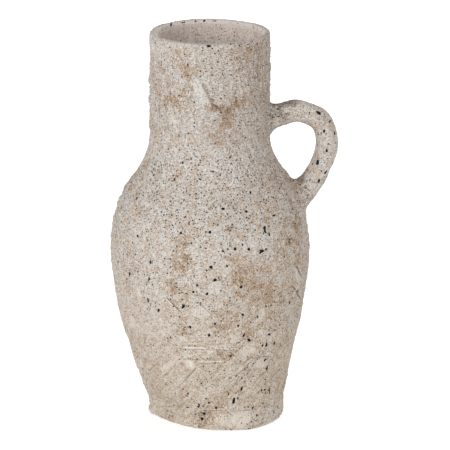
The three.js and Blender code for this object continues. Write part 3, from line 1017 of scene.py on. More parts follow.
def clay_mesh(name, rings, closed, skins, values):
    """A closed mesh of rings of points: joined last to first, or with a flat cap at each end.

    `skins` holds the material of the band above each ring, and `values` the named numbers of
    each point that the materials read.
    """
    rows, columns, _ = rings.shape
    corners = grid_faces(rows, columns, closed)
    faces = (corners[..., 0] % rows * columns + corners[..., 1] % columns).tolist()
    spread = (corners[..., ::-1] / (columns, rows)).reshape(-1, 2)
    points = rings.reshape(-1, 3)
    materials = skins[corners[:, 0, 0]]
    values = {key: value.reshape(-1) for key, value in values.items()}
    if not closed:
        first = np.arange(columns)
        last = first + (rows - 1) * columns
        following = (first + 1) % columns
        bottom = np.stack([following, first, np.full(columns, len(points))], axis=1)
        top = np.stack([last, last[following], np.full(columns, len(points) + 1)], axis=1)
        faces += bottom.tolist() + top.tolist()
        along = np.stack([first, first + 1, first + 0.5], axis=1) / columns
        edge = np.array([0, 0, 1]) / rows
        spread = np.concatenate((
            spread,
            np.stack([along[:, [1, 0, 2]], np.broadcast_to(edge, along.shape)], axis=-1).reshape(-1, 2),
            np.stack([along, np.broadcast_to(1 - edge, along.shape)], axis=-1).reshape(-1, 2),
        ))
        points = np.concatenate((points, rings[[0, -1]].mean(axis=1)))
        materials = np.concatenate((materials, np.repeat(skins[[0, -1]], columns)))
        ends = {key: value.reshape(rows, columns)[[0, -1]].mean(axis=1) for key, value in values.items()}
        values = {key: np.concatenate((values[key], ends[key])) for key in values}

    mesh = bpy.data.meshes.new(name)
    mesh.from_pydata((points * METRES).tolist(), [], faces)
    for key, value in values.items():
        mesh.attributes.new(key, "FLOAT", "POINT").data.foreach_set("value", value.astype(np.float32))
    mesh.uv_layers.new(name="OFBake").data.foreach_set("uv", spread.astype(np.float32).ravel())
    mesh.polygons.foreach_set("material_index", materials.astype(np.int32))
    mesh.shade_smooth()
    mesh.set_sharp_from_angle(angle=SHARP_EDGE)
    return mesh


def add_piece(node, mesh):
    """Shows a mesh in place of the frame's solid of that name."""
    for material in clay_materials:
        mesh.materials.append(material)
    piece = bpy.data.objects.new(f"{node}_clay", mesh)
    bpy.context.scene.collection.objects.link(piece)
    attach(piece, "root")
    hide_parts(node)


# Walls

Rows = namedtuple("Rows", "radius height across up skin")


def outside(heights):
    """Rows of the outer skin at these heights."""
    slope = outer_slope(heights)
    length = np.hypot(1, slope)
    return Rows(outer_radius(heights), heights, 1 / length, -slope / length, np.full(len(heights), SLIPPED))


def inside(heights):
    """Rows of the inner skin at these heights."""
    slope = outer_slope(heights)
    length = np.hypot(1, slope)
    return Rows(inner_radius(heights), heights, -1 / length, slope / length, np.full(len(heights), LINING))


def plain(radius, height, skin=BARE):
    """Rows without relief."""
    radius = np.array(radius, float)
    height = np.array(height, float)
    return Rows(radius, height, 0 * radius, 0 * radius, np.full(len(radius), skin))


def seam(height, side):
    """A seam's keyed face, from the outer skin to the inner one; `side` is -1 below the slip, 1 above."""
    radius = outer_radius(height) * (1 - KEY_PLACES) + inner_radius(height) * KEY_PLACES
    return plain(radius, height + side * SLIP_GAP / 2 - KEY_DEPTH * np.array((0, 1, 0)))


def lip():
    """The worn lip from the outer skin to the inner one: tight outside, flat on top, rounder inside."""
    angle = np.linspace(0, math.pi / 2, LIP_ROWS)
    outer = LIP_OUTER_ROUNDING * (1 - np.array((np.cos(angle), np.sin(angle))))
    inner = LIP_INNER_ROUNDING * (1 - np.array((np.sin(angle), np.cos(angle))))
    first, last = NECK_RADIUS - LIP_OUTER_ROUNDING, NECK_RADIUS - WALL + LIP_INNER_ROUNDING
    top = np.linspace(first, last, LIP_ROWS)[1:-1]
    facing = np.concatenate((angle, np.full(len(top), math.pi / 2), angle + math.pi / 2))
    return Rows(
        np.concatenate((NECK_RADIUS - outer[0], top, NECK_RADIUS - WALL + inner[0])),
        JUG_HEIGHT - np.concatenate((outer[1], 0 * top, inner[1])),
        np.cos(facing),
        np.sin(facing),
        np.full(len(facing), SLIPPED),
    )


def backwards(rows):
    return Rows(*(column[::-1] for column in rows))


def joined(*parts):
    return Rows(*(np.concatenate(columns) for columns in zip(*parts)))


def levels(low, high, step):
    return np.linspace(low, high, max(2, round((high - low) / step) + 1))


def turned_piece(node, rows, closed):
    """A wall, slab or rim: rows turned about the drifting axis, then given the clay's relief."""
    turn = around(COLUMNS) + math.pi / 2
    level = np.broadcast_to(rows.height[:, None], (len(rows.height), COLUMNS))
    radius = rows.radius[:, None] * (1 + foot_shift(turn, level) / FOOT_RADIUS)
    rings = around_axis(radius, turn, level)
    out = np.stack([
        rows.across[:, None] * np.cos(turn),
        rows.across[:, None] * np.sin(turn),
        np.broadcast_to(rows.up[:, None], level.shape),
    ], axis=-1)
    shown = rows.skin == SLIPPED
    crust = SMOOTHED_CRUST + (1 - SMOOTHED_CRUST) * eased(*ROUGH_ZONE, level[shown])
    crust = crust + (LIP_CRUST - crust) * eased(*LIP_ZONE, level[shown])
    relief = clay_relief(rings[shown].reshape(-1, 3), crust.reshape(-1))._asdict()
    values = {key: np.full(level.shape, value, float) for key, value in NO_RELIEF._asdict().items()}
    for key, value in relief.items():
        values[key][shown] = value.reshape(-1, COLUMNS)
    height = values.pop("height")
    lined = rows.skin == LINING
    lumps = noise(rings[lined].reshape(-1, 3), size=24, seed=21).reshape(-1, COLUMNS)
    fading = eased(JUG_HEIGHT - LIP_INNER_ROUNDING, LIP_ZONE[0], level[lined])
    height[lined] = LUMP_HEIGHT * lumps * fading
    mesh = clay_mesh(node, rings + out * height[..., None], closed, rows.skin, values)
    add_piece(node, mesh)


def wall(node, low, high):
    """One course of the wall, keyed to the courses below and above it."""
    rows = joined(
        outside(levels(low, high, OUTSIDE_STEP)),
        seam(high, -1),
        backwards(inside(levels(low, high, INSIDE_STEP))),
        backwards(seam(low, 1)),
    )
    turned_piece(node, rows, closed=True)


def base_slab():
    """The disc that the jug stands on, with a rounded lower edge."""
    angle = np.linspace(0, math.pi / 2, FOOT_ROWS, endpoint=False)
    flat = FOOT_RADIUS - FOOT_ROUNDING
    edge = Rows(
        flat + FOOT_ROUNDING * np.sin(angle),
        FOOT_ROUNDING * (1 - np.cos(angle)),
        np.sin(angle),
        0 * angle,
        np.full(FOOT_ROWS, SLIPPED),
    )
    bottom = np.linspace(DISC_HOLE, flat - FOOT_ROUNDING, DISC_ROWS)
    top = np.linspace(inner_radius(BASE_THICKNESS), DISC_HOLE, DISC_ROWS)
    rows = joined(
        plain(bottom, np.zeros(DISC_ROWS)),
        edge,
        outside(levels(FOOT_ROUNDING, BASE_THICKNESS, OUTSIDE_STEP)),
        seam(BASE_THICKNESS, -1),
        plain(top, np.full(DISC_ROWS, BASE_THICKNESS), LINING),
    )
    turned_piece("base_slab", rows, closed=False)


def rim_coil():
    """The last ring of clay, with the lip."""
    rows = joined(
        outside(levels(RIM_SEAM, JUG_HEIGHT - LIP_OUTER_ROUNDING, OUTSIDE_STEP)[:-1]),
        lip(),
        backwards(inside(levels(RIM_SEAM, JUG_HEIGHT - LIP_INNER_ROUNDING, INSIDE_STEP / 2)[:-1])),
        backwards(seam(RIM_SEAM, 1)),
    )
    turned_piece("rim_coil", rows, closed=True)


def coil_piece(node, radius, height):
    """A ring of bare clay round the inside, from the radius and the height of each row."""
    rings = around_axis(radius, around(COIL_COLUMNS), height)
    mesh = clay_mesh(node, rings, True, np.full(COIL_ROWS, BARE), {})
    add_piece(node, mesh)


def seam_coil(node, middle):
    """A thin coil pressed over a seam from inside, dented by fingers."""
    angle = around(COIL_ROWS)[:, None]
    dents = 1 - COIL_DENT_SHARE + COIL_DENT_SHARE * np.cos(around(COIL_COLUMNS) * COIL_DENTS)
    height = middle + SEAM_COIL_HEIGHT / 2 * np.sin(angle)
    inward = np.maximum(0, -np.cos(angle)) * SEAM_COIL_THICKNESS * dents + SLIP_GAP + COIL_CLEARANCE
    coil_piece(node, inner_radius(height) - inward, height)


def base_seam_coil():
    """The coil in the corner between the base and the wall."""
    angle = around(COIL_ROWS)[:, None]
    half = BASE_COIL_SIZE / 2
    height = BASE_THICKNESS + SLIP_GAP + half + half * np.sin(angle)
    radius = inner_radius(height) - SLIP_GAP - COIL_CLEARANCE - half + half * np.cos(angle)
    coil_piece("base_seam_coil", radius, height)


# Handle

def smooth_line(bends, steps):
    """Points along a centripetal Catmull-Rom curve through the bends."""
    ends = np.vstack((2 * bends[0] - bends[1], bends, 2 * bends[-1] - bends[-2]))
    share = np.linspace(0, 1, steps, endpoint=False)[:, None]
    pieces = []
    for a, b, c, d in zip(ends, ends[1:], ends[2:], ends[3:]):
        before, along, after = (math.sqrt(np.linalg.norm(q - p)) for p, q in ((a, b), (b, c), (c, d)))
        leaving = ((b - a) / before - (c - a) / (before + along) + (c - b) / along) * along
        landing = ((c - b) / along - (d - b) / (along + after) + (d - c) / after) * along
        pieces.append(
            b
            + leaving * share
            + (3 * (c - b) - 2 * leaving - landing) * share**2
            + (2 * (b - c) + leaving + landing) * share**3
        )
    return np.vstack((*pieces, bends[-1]))


def handle_line():
    """The handle's middle line, as (x, height) at equal steps from inside the neck to the shoulder."""
    landing = np.array((outer_radius(HANDLE_FOOT_HEIGHT), HANDLE_FOOT_HEIGHT))
    last_bend = landing + HANDLE_FOOT_BEND
    inward = (landing - last_bend) / np.linalg.norm(landing - last_bend)
    bends = np.array((
        (HANDLE_TOP[0] - HANDLE_ROOT_DEPTH, HANDLE_TOP[1]),
        HANDLE_TOP,
        HANDLE_CREST,
        HANDLE_UPPER_BEND,
        HANDLE_FURTHEST,
        last_bend,
        landing,
        landing + inward * HANDLE_ROOT_DEPTH,
    ))
    line = smooth_line(bends, BEND_POINTS)
    travelled = np.concatenate(((0,), np.cumsum(np.linalg.norm(np.diff(line, axis=0), axis=1))))
    even = np.linspace(0, travelled[-1], round(travelled[-1] / HANDLE_STEP) + 1)
    line = np.stack([np.interp(even, travelled, line[:, axis]) for axis in range(2)], axis=1)
    return line + (-DRIFT, 0)


def handle_rings():
    """Plain oval rings along the handle's whole line; column 0 lies on the handle's outer side."""
    line = handle_line()
    along = np.gradient(line, axis=0)
    along /= np.linalg.norm(along, axis=1)[:, None]
    out = np.stack([-along[:, 1], along[:, 0]], axis=1)
    turn = around(HANDLE_COLUMNS)
    thickness = np.linspace(HANDLE_THICKNESS, HANDLE_FOOT_THICKNESS, len(line))[:, None]
    lift = thickness / 2 * np.cos(turn)
    return np.stack([
        line[:, :1] + out[:, :1] * lift,
        np.broadcast_to(HANDLE_WIDTH / 2 * np.sin(turn), lift.shape),
        line[:, 1:] + out[:, 1:] * lift,
    ], axis=-1)


MIRRORED = np.array((1, -1, 1))


def ring_normals(rings):
    """Unit normals of a grid of rings, pointing out of it."""
    round_it = np.roll(rings, -1, axis=1) - np.roll(rings, 1, axis=1)
    normals = np.cross(round_it, np.gradient(rings, axis=0))
    return normals / np.linalg.norm(normals, axis=2, keepdims=True)


def worked(rings, on_handle):
    """Rings with the clay's relief on them, and the values of their points.

    `on_handle` runs from 1 on the smoother handle to 0 on the wall, for each ring.
    """
    rows, columns, _ = rings.shape
    share = np.repeat(on_handle, columns)
    relief = clay_relief(rings.reshape(-1, 3), kept_in(share, HANDLE_CRUST))
    relief = relief._replace(
        slip=relief.slip + share * HANDLE_SLIP,
        stain=relief.stain * kept_in(share, HANDLE_STAIN),
        plate=relief.plate + share * HANDLE_PLATE,
        specks=relief.specks * kept_in(share, HANDLE_SPECKS),
    )
    values = {key: value.reshape(rows, columns) for key, value in relief._asdict().items()}
    rings = rings + ring_normals(rings) * values.pop("height")[..., None]
    return rings, values


def handle(rings):
    """The part of the loop that lies clear of the wall."""
    clear = np.flatnonzero(above_wall(rings).min(axis=1) > SLIP_GAP)
    shown, values = worked(rings[clear[0] : clear[-1] + 1][::-1], np.ones(len(clear)))
    mesh = clay_mesh("handle", shown, False, np.full(len(shown), SLIPPED), values)
    add_piece("handle", mesh)


def on_wall(points):
    """The points of the plain outer wall nearest on the level to these."""
    level = points[..., 2]
    x = points[..., 0] - drift_at(level)
    scale = outer_radius(level) / np.hypot(x, points[..., 1])
    return np.stack([x * scale + drift_at(level), points[..., 1] * scale, level], axis=-1)


def root_fillet(node, rings, swell):
    """Clay worked round a root.

    `rings` run from inside the wall out along the handle, and turn so that they face outwards.
    """
    columns = np.arange(HANDLE_COLUMNS)
    turn = around(HANDLE_COLUMNS)
    leaves = (above_wall(rings) > 0).argmax(axis=0)
    corner = on_wall(rings[leaves, columns])
    start = rings[leaves.max() + round(FILLET_LENGTH / HANDLE_STEP)]
    outward = corner - corner.mean(axis=0)
    outward /= np.linalg.norm(outward, axis=1)[:, None]
    reach = (
        swell.outer * np.maximum(0, np.cos(turn)) ** 2
        + swell.inner * np.maximum(0, -np.cos(turn)) ** 2
        + swell.side * np.sin(turn) ** 2
    )
    end = on_wall(corner + outward * reach[:, None])
    share = np.linspace(1, 0, FILLET_ROWS)
    bend = share[:, None, None]
    plain_skin = start * (1 - bend) ** 2 + 2 * corner * bend * (1 - bend) + end * bend**2
    skin, values = worked(plain_skin, 1 - share)
    tucked = FILLET_TUCK * np.abs(2 * share - 1) ** TUCK_SHARPNESS
    skin = skin - ring_normals(plain_skin) * tucked[:, None, None]
    under = np.stack([end, corner, start])
    sunk = (under - FILLET_DEPTH * ring_normals(under))[::-1]
    values = {
        key: np.concatenate((value, value[-1:], value[-1:], value[:1]))
        for key, value in values.items()
    }
    skins = np.full(FILLET_ROWS + len(sunk), SLIPPED)
    mesh = clay_mesh(node, np.concatenate((skin, sunk)), True, skins, values)
    add_piece(node, mesh)


# Materials

MATT_ROUGHNESS = 0.95
BARE_ROUGHNESS = 0.97
MATT_SPECULAR = 0.15
SLIP_COVER = 0.1
GRAIN_CONTRAST = 0.3
GRAIN_LIGHT = 0.96
CLOUD_ROUGHNESS = 0.65
CLOUD_RANGE = (0.25, 0.75)
LEAST_SPECK = 0.4
SPECK_EDGE = 0.08
STROKE_SIDES = (1.3, 0.7)
STROKE_ENDS = (0.5, 0.35)
BODY_LEAN = -FLANK_DRAG
NECK_LEAN = -NECK_DRAG

# Zones of the colours: each fades in from its first height, x or radius to its second
WASHED_FLANK = (150, 80)
WASHED_NECK = (220, 270)
GREY_WASH = (50, 200)
HANDLE_SIDE = (-10, 60)
LINING_EDGE = (320, JUG_HEIGHT - LIP_INNER_ROUNDING)
LINING_WEAR = (320, 420)
LIP_RUBBED = (NECK_RADIUS - 0.3 * WALL, NECK_RADIUS - 0.9 * WALL)
LIP_TURNED_IN = (NECK_RADIUS - 0.5 * WALL, NECK_RADIUS - 0.95 * WALL)


def feed(tree, socket, value):
    """Links an input to another node's socket, or sets it to a value."""
    if isinstance(value, bpy.types.NodeSocket):
        tree.links.new(value, socket)
    else:
        socket.default_value = value


def add_node(tree, kind, inputs=(), **settings):
    """A node with its settings, and its inputs fed."""
    made = tree.nodes.new(kind)
    for key, value in settings.items():
        setattr(made, key, value)
    for key, value in dict(inputs).items():
        feed(tree, made.inputs[key], value)
    return made


def calculate(tree, operation, *values):
    inputs = dict(enumerate(values))
    return add_node(tree, "ShaderNodeMath", inputs, operation=operation).outputs[0]


def times(tree, first, second):
    return calculate(tree, "MULTIPLY", first, second)


def mix_colors(tree, share, first, second, blend="MIX"):
    """The first colour where the share is 0, mixed with the second where it is 1."""
    made = add_node(tree, "ShaderNodeMix", data_type="RGBA", blend_type=blend)
    sockets = {socket.identifier: socket for socket in made.inputs}
    for name, value in (("Factor_Float", share), ("A_Color", first), ("B_Color", second)):
        feed(tree, sockets[name], value)
    return next(socket for socket in made.outputs if socket.identifier == "Result_Color")


def layered(tree, color, *layers):
    """A colour under layers, each given as where it lies and the colour that it has."""
    for share, over in layers:
        color = mix_colors(tree, share, color, over)
    return color


def ramp(tree, value, low, high):
    """A smooth step of a value from 0 at `low` to 1 at `high`."""
    inputs = {"Value": value, "From Min": low, "From Max": high}
    return add_node(tree, "ShaderNodeMapRange", inputs, interpolation_type="SMOOTHSTEP").outputs["Result"]


def zone(tree, length, limits):
    """A smooth step of a length from 0 at the first limit to 1 at the second, both in millimetres."""
    first, second = limits
    return ramp(tree, length, first * METRES, second * METRES)


def blended(tree, share, first, second):
    """One value where the share is 0, the other where it is 1."""
    change = calculate(tree, "SUBTRACT", second, first)
    return calculate(tree, "MULTIPLY_ADD", change, share, first)


def weighed(tree, *terms):
    """A sum of values, each times its weight."""
    total = 0.0
    for value, weight in terms:
        total = calculate(tree, "MULTIPLY_ADD", value, weight, total)
    return total


def vector(tree, operation, *values, output=0, **named):
    inputs = {**dict(enumerate(values)), **named}
    return add_node(tree, "ShaderNodeVectorMath", inputs, operation=operation).outputs[output]


def object_place(tree):
    return add_node(tree, "ShaderNodeTexCoord").outputs["Object"]


def attribute(tree, name):
    return add_node(tree, "ShaderNodeAttribute", attribute_name=name).outputs["Fac"]


# Groups of nodes

def new_group(name, inputs, output):
    """An empty node group, with its input sockets and its one output."""
    tree = bpy.data.node_groups.new(name, "ShaderNodeTree")
    for key, default in inputs.items():
        kind = "NodeSocketFloat" if isinstance(default, float) else "NodeSocketVector"
        tree.interface.new_socket(key, in_out="INPUT", socket_type=kind).default_value = default
    tree.interface.new_socket(output, in_out="OUTPUT", socket_type="NodeSocketFloat")
    return tree, tree.nodes.new("NodeGroupInput").outputs, tree.nodes.new("NodeGroupOutput").inputs[output]


def place_over(tree, size, seed, place=None):
    """The place on the jug, or another one, in steps of `size` millimetres, shifted for each seed."""
    steps = calculate(tree, "DIVIDE", 1 / METRES, size)
    return vector(tree, "ADD", vector(tree, "SCALE", place or object_place(tree), Scale=steps), seed)


def cloud(tree, place, detail):
    inputs = {"Vector": place, "Scale": 1.0, "Detail": detail, "Roughness": CLOUD_ROUGHNESS}
    return add_node(tree, "ShaderNodeTexNoise", inputs).outputs["Fac"]


def random_cells(tree, place):
    """The random numbers of the cell that a place lies in, and the distance from that cell's middle."""
    made = add_node(tree, "ShaderNodeTexVoronoi", {"Vector": place, "Scale": 1.0}).outputs
    return add_node(tree, "ShaderNodeSeparateColor", {"Color": made["Color"]}).outputs, made["Distance"]


def line_at_middle(tree, value, width):
    """1 where a cloud's value is halfway, which draws a meandering line, and 0 from `width` away."""
    away = calculate(tree, "ABSOLUTE", calculate(tree, "SUBTRACT", value, 0.5))
    return ramp(tree, away, width, 0.0)


def leaned(tree, place, lean, stretch):
    """A place turned further the higher it lies and squeezed in height, so that what it draws leans."""
    level = add_node(tree, "ShaderNodeSeparateXYZ", {"Vector": place}).outputs["Z"]
    turn = times(tree, calculate(tree, "DIVIDE", level, MIDDLE_RADIUS * METRES), lean)
    inputs = {"Vector": place, "Angle": turn}
    turned = add_node(tree, "ShaderNodeVectorRotate", inputs, rotation_type="Z_AXIS").outputs[0]
    squeeze = calculate(tree, "DIVIDE", 1.0, stretch)
    squeeze = add_node(tree, "ShaderNodeCombineXYZ", {"X": 1.0, "Y": 1.0, "Z": squeeze}).outputs[0]
    return vector(tree, "MULTIPLY", turned, squeeze)


def mottle_group():
    """Cloudy noise from 0 to 1, which may lean round the jug."""
    inputs = {"Size": 3.0, "Detail": 3.0, "Seed": 0.0, "Lean": 0.0, "Stretch": 1.0}
    tree, given, result = new_group("Mottle", inputs, "Value")
    place = leaned(tree, object_place(tree), given["Lean"], given["Stretch"])
    value = cloud(tree, place_over(tree, given["Size"], given["Seed"], place), given["Detail"])
    feed(tree, result, ramp(tree, value, *CLOUD_RANGE))
    return tree


def crease_group():
    """Meandering creases, 1 along their middle and 0 away from them."""
    inputs = {"Size": 4.0, "Detail": 2.0, "Width": 0.06, "Seed": 0.0}
    tree, given, result = new_group("Creases", inputs, "Mask")
    value = cloud(tree, place_over(tree, given["Size"], given["Seed"]), given["Detail"])
    feed(tree, result, line_at_middle(tree, value, given["Width"]))
    return tree


def drag_line_group():
    """Thin lines that a tool dragged round the jug at a lean, 1 along their middle and 0 away from them."""
    inputs = {"Size": 4.0, "Lean": 0.5, "Stretch": 6.0, "Width": 0.03, "Seed": 0.0}
    tree, given, result = new_group("Drag lines", inputs, "Mask")
    place = leaned(tree, object_place(tree), given["Lean"], given["Stretch"])
    value = cloud(tree, place_over(tree, given["Size"], given["Seed"], place), detail=2.0)
    feed(tree, result, line_at_middle(tree, value, given["Width"]))
    return tree


def speck_group():
    """Scattered round specks, 1 inside and 0 outside."""
    inputs = {"Spacing": 4.0, "Share": 0.3, "Radius": 0.8, "Seed": 0.0}
    tree, given, result = new_group("Specks", inputs, "Mask")
    chance, distance = random_cells(tree, place_over(tree, given["Spacing"], given["Seed"]))
    present = calculate(tree, "LESS_THAN", chance["Red"], given["Share"])
    size = calculate(tree, "MULTIPLY_ADD", chance["Green"], 1 - LEAST_SPECK, LEAST_SPECK)
    radius = times(tree, size, given["Radius"])
    depth = calculate(tree, "SUBTRACT", radius, times(tree, distance, given["Spacing"]))
    feed(tree, result, times(tree, ramp(tree, depth, -SPECK_EDGE, SPECK_EDGE), present))
    return tree


def grain_group():
    """A random value from 0 to 1 for each of many packed grains."""
    tree, given, result = new_group("Grains", {"Spacing": 1.0, "Seed": 0.0}, "Value")
    chance, _ = random_cells(tree, place_over(tree, given["Spacing"], given["Seed"]))
    feed(tree, result, chance["Red"])
    return tree


def stroke_group():
    """One straight stroke of a tool, 1 along its middle and 0 away from it."""
    inputs = {"Start": (0, 0, 0), "Way": (0, 0, 1), "Facing": (0, -1, 0), "Width": 0.001}
    tree, given, result = new_group("Stroke", inputs, "Mask")
    offset = vector(tree, "SUBTRACT", object_place(tree), given["Start"])
    lift = vector(tree, "DOT_PRODUCT", offset, given["Facing"], output="Value")
    offset = vector(tree, "SUBTRACT", offset, vector(tree, "SCALE", given["Facing"], Scale=lift))
    along = vector(tree, "DOT_PRODUCT", offset, given["Way"], output="Value")
    length = vector(tree, "DOT_PRODUCT", given["Way"], given["Way"], output="Value")
    share = calculate(tree, "DIVIDE", along, length)
    share = add_node(tree, "ShaderNodeClamp", {"Value": share}).outputs[0]
    nearest = vector(tree, "SCALE", given["Way"], Scale=share)
    away = vector(tree, "DISTANCE", offset, nearest, output="Value")
    line = ramp(tree, calculate(tree, "DIVIDE", away, given["Width"]), *STROKE_SIDES)
    from_middle = calculate(tree, "ABSOLUTE", calculate(tree, "SUBTRACT", share, 0.5))
    line = times(tree, line, ramp(tree, from_middle, *STROKE_ENDS))
    in_reach = calculate(tree, "LESS_THAN", calculate(tree, "ABSOLUTE", lift), STROKE_LIFT * METRES)
    feed(tree, result, times(tree, line, in_reach))
    return tree


mottle_tree = mottle_group()
crease_tree = crease_group()
drag_line_tree = drag_line_group()
speck_tree = speck_group()
grain_tree = grain_group()
stroke_tree = stroke_group()


def place_group(tree, group, **inputs):
    """A placed group with its inputs set; the result is its one output."""
    return add_node(tree, "ShaderNodeGroup", node_tree=group, inputs=inputs).outputs[0]


def mottle(tree, size, detail, seed, lean=0.0, stretch=1.0):
    return place_group(tree, mottle_tree, Size=size, Detail=detail, Seed=seed, Lean=lean, Stretch=stretch)


def specks(tree, spacing, share, radius, seed):
    return place_group(tree, speck_tree, Spacing=spacing, Share=share, Radius=radius, Seed=seed)


def packed_grains(tree, spacing, seed):
    """Crisp random grains, from -0.5 to 0.5."""
    return calculate(tree, "SUBTRACT", place_group(tree, grain_tree, Spacing=spacing, Seed=seed), 0.5)


def strokes(tree, sign):
    """All dark tool strokes, with painted shade, if `sign` is -1, or all pale ones, with painted highlight,
    if 1.
    """
    total = 0.0
    for mark in STROKES:
        if mark.tone * sign > 0:
            start, way, facing = stroke_frame(mark)
            place = {"Start": start * METRES, "Way": way * METRES, "Facing": facing}
            line = place_group(tree, stroke_tree, Width=mark.width * METRES, **place)
            total = calculate(tree, "MAXIMUM", times(tree, line, abs(mark.tone)), total)
    return total


# Colours

def srgb(red, green, blue):
    """A colour given as 0 to 255 display values, as linear light with alpha."""
    shares = [value / 255 for value in (red, green, blue)]
    return (*(s / 12.92 if s <= 0.04045 else ((s + 0.055) / 1.055) ** 2.4 for s in shares), 1)


SLIP_COLOR = srgb(214, 212, 208)
CREAM_COLOR = srgb(217, 208, 196)
SCRAPE_AND_HIGHLIGHT_COLOR = srgb(228, 222, 214)
TAN_COLOR = srgb(197, 171, 143)
CLAY_COLOR = srgb(160, 144, 131)
OCHRE_COLOR = srgb(160, 130, 100)
UMBER_COLOR = srgb(118, 98, 80)
# Grime and painted shade at the handle's roots
GRIME_AND_SHADE_COLOR = srgb(116, 99, 86)
PEPPER_COLOR = srgb(68, 62, 60)
PIT_COLOR = srgb(34, 35, 43)
RUST_COLOR = srgb(172, 130, 96)
LIP_COLOR = srgb(206, 194, 184)
# The lining's colours are painted pale to stand in for light that the inside of the neck does not get
PAINTED_LIGHT_LINING = srgb(252, 247, 242)
PAINTED_LIGHT_LINING_TONE = srgb(231, 221, 214)
WHITE = (1, 1, 1, 1)


def new_material(name):
    """A matt material, its nodes and its shader."""
    material = bpy.data.materials.new(name)
    material.use_nodes = True
    tree = material.node_tree
    shader = tree.nodes["Principled BSDF"]
    shader.inputs["Roughness"].default_value = MATT_ROUGHNESS
    shader.inputs["Specular IOR Level"].default_value = MATT_SPECULAR
    return material, tree, shader


def dress(tree, shader, color, roughness, relief, depth):
    """Gives a shader its colour, its roughness and a fine relief, `depth` millimetres deep."""
    bump = {"Height": relief, "Distance": depth * METRES, "Strength": 1.0}
    feed(tree, shader.inputs["Base Color"], color)
    feed(tree, shader.inputs["Roughness"], roughness)
    feed(tree, shader.inputs["Normal"], add_node(tree, "ShaderNodeBump", bump).outputs["Normal"])


def leaning_mottle(tree, on_neck, size, detail, seeds, stretches):
    """Mottle that leans one way on the body and the other way on the neck."""
    body, neck = (
        mottle(tree, size, detail, seed, lean, stretch)
        for seed, lean, stretch in zip(seeds, (BODY_LEAN, NECK_LEAN), stretches)
    )
    return blended(tree, on_neck, body, neck)


def drag_lines(tree, on_flank, on_neck):
    """Thin dragged lines on the flank and on the neck, in scattered places."""
    flank = place_group(tree, drag_line_tree, Size=5, Lean=BODY_LEAN, Stretch=7, Width=0.02, Seed=41)
    neck = place_group(tree, drag_line_tree, Size=5, Lean=NECK_LEAN, Stretch=5, Width=0.025, Seed=42)
    lines = calculate(tree, "MULTIPLY_ADD", neck, on_neck, times(tree, flank, on_flank))
    return times(tree, lines, ramp(tree, mottle(tree, size=14, detail=1, seed=43), 0.4, 0.7))


def worn_lip(tree, color):
    """The colour with the lip rubbed paler, and painted light in the lining's tone where the lip turns in.
    """
    offset = vector(tree, "SUBTRACT", object_place(tree), (drift_at(JUG_HEIGHT) * METRES, 0, 0))
    radius = vector(tree, "LENGTH", vector(tree, "MULTIPLY", offset, (1, 1, 0)), output="Value")
    rubbed = times(tree, zone(tree, radius, LIP_RUBBED), 0.7)
    turned_in = times(tree, zone(tree, radius, LIP_TURNED_IN), 0.8)
    return layered(tree, color, (rubbed, LIP_COLOR), (turned_in, PAINTED_LIGHT_LINING_TONE))


def speckled(tree, color):
    """The colour with pale glints, rust, pepper and black iron specks, and dark pits."""
    crowding = attribute(tree, "specks")
    glints = specks(tree, spacing=1.8, share=0.4, radius=0.5, seed=19)
    rust = specks(tree, spacing=4.5, share=0.25, radius=0.8, seed=13)
    pepper = specks(tree, spacing=1.9, share=times(tree, crowding, 1.4), radius=0.55, seed=17)
    iron = specks(tree, spacing=2.6, share=times(tree, crowding, 0.85), radius=0.82, seed=11)
    return layered(
        tree,
        color,
        (times(tree, glints, 0.35), SCRAPE_AND_HIGHLIGHT_COLOR),
        (rust, RUST_COLOR),
        (pepper, PEPPER_COLOR),
        (iron, PIT_COLOR),
        (ramp(tree, attribute(tree, "pit"), -0.3, 0), PIT_COLOR),
    )


# What mixes the colours of the worn slip at each place
Wear = namedtuple(
    "Wear",
    "level on_flank on_neck slip hollows grain cluster blotch warm stain deep plate flecks creases lines",
)


def slip_wear(tree, level):
    """The marks in the slip, from its grain to the creases and lines that bare the clay."""
    on_flank = zone(tree, level, WASHED_FLANK)
    on_neck = zone(tree, level, WASHED_NECK)
    cluster = leaning_mottle(tree, on_neck, size=2.2, detail=2, seeds=(26, 29), stretches=(1.5, 1.5))
    blotch = leaning_mottle(tree, on_neck, size=4, detail=4, seeds=(27, 28), stretches=(1.8, 2))
    patch = mottle(tree, size=5, detail=3, seed=9)
    broken = calculate(tree, "SUBTRACT", mottle(tree, size=1.3, detail=3, seed=10), 0.5)
    stain = calculate(tree, "MULTIPLY_ADD", broken, 1.1, attribute(tree, "stain"))
    plate = ramp(tree, weighed(tree, (attribute(tree, "plate"), 1.0), (patch, 0.8)), 0.3, 0.55)
    worn = calculate(tree, "MULTIPLY_ADD", on_flank, 0.75, 0.25)
    exposed = times(tree, calculate(tree, "SUBTRACT", 1.0, plate), worn)
    flecks = ramp(tree, mottle(tree, size=2.2, detail=3, seed=14), 0.72, 0.95)
    creases = place_group(tree, crease_tree, Size=3.4, Detail=2, Width=0.05, Seed=7)
    return Wear(
        level=level,
        on_flank=on_flank,
        on_neck=on_neck,
        slip=attribute(tree, "slip"),
        hollows=attribute(tree, "worn"),
        grain=packed_grains(tree, spacing=0.75, seed=5),
        cluster=calculate(tree, "SUBTRACT", cluster, 0.5),
        blotch=ramp(tree, blotch, 0.4, 0.9),
        warm=times(tree, ramp(tree, patch, 0.35, 0.85), blended(tree, on_neck, 1.0, 0.5)),
        stain=ramp(tree, stain, 0.1, 1.0),
        deep=ramp(tree, stain, 0.75, 1.4),
        plate=plate,
        flecks=times(tree, flecks, exposed),
        creases=times(tree, creases, exposed),
        lines=drag_lines(tree, on_flank, on_neck),
    )


def clay_color(tree, wear):
    """The tan clay under the slip, darker where it is stained."""
    ochre = weighed(tree, (wear.warm, 0.4), (wear.hollows, 0.5), (wear.stain, 0.7))
    return layered(tree, CLAY_COLOR, (ochre, OCHRE_COLOR), (wear.deep, UMBER_COLOR))


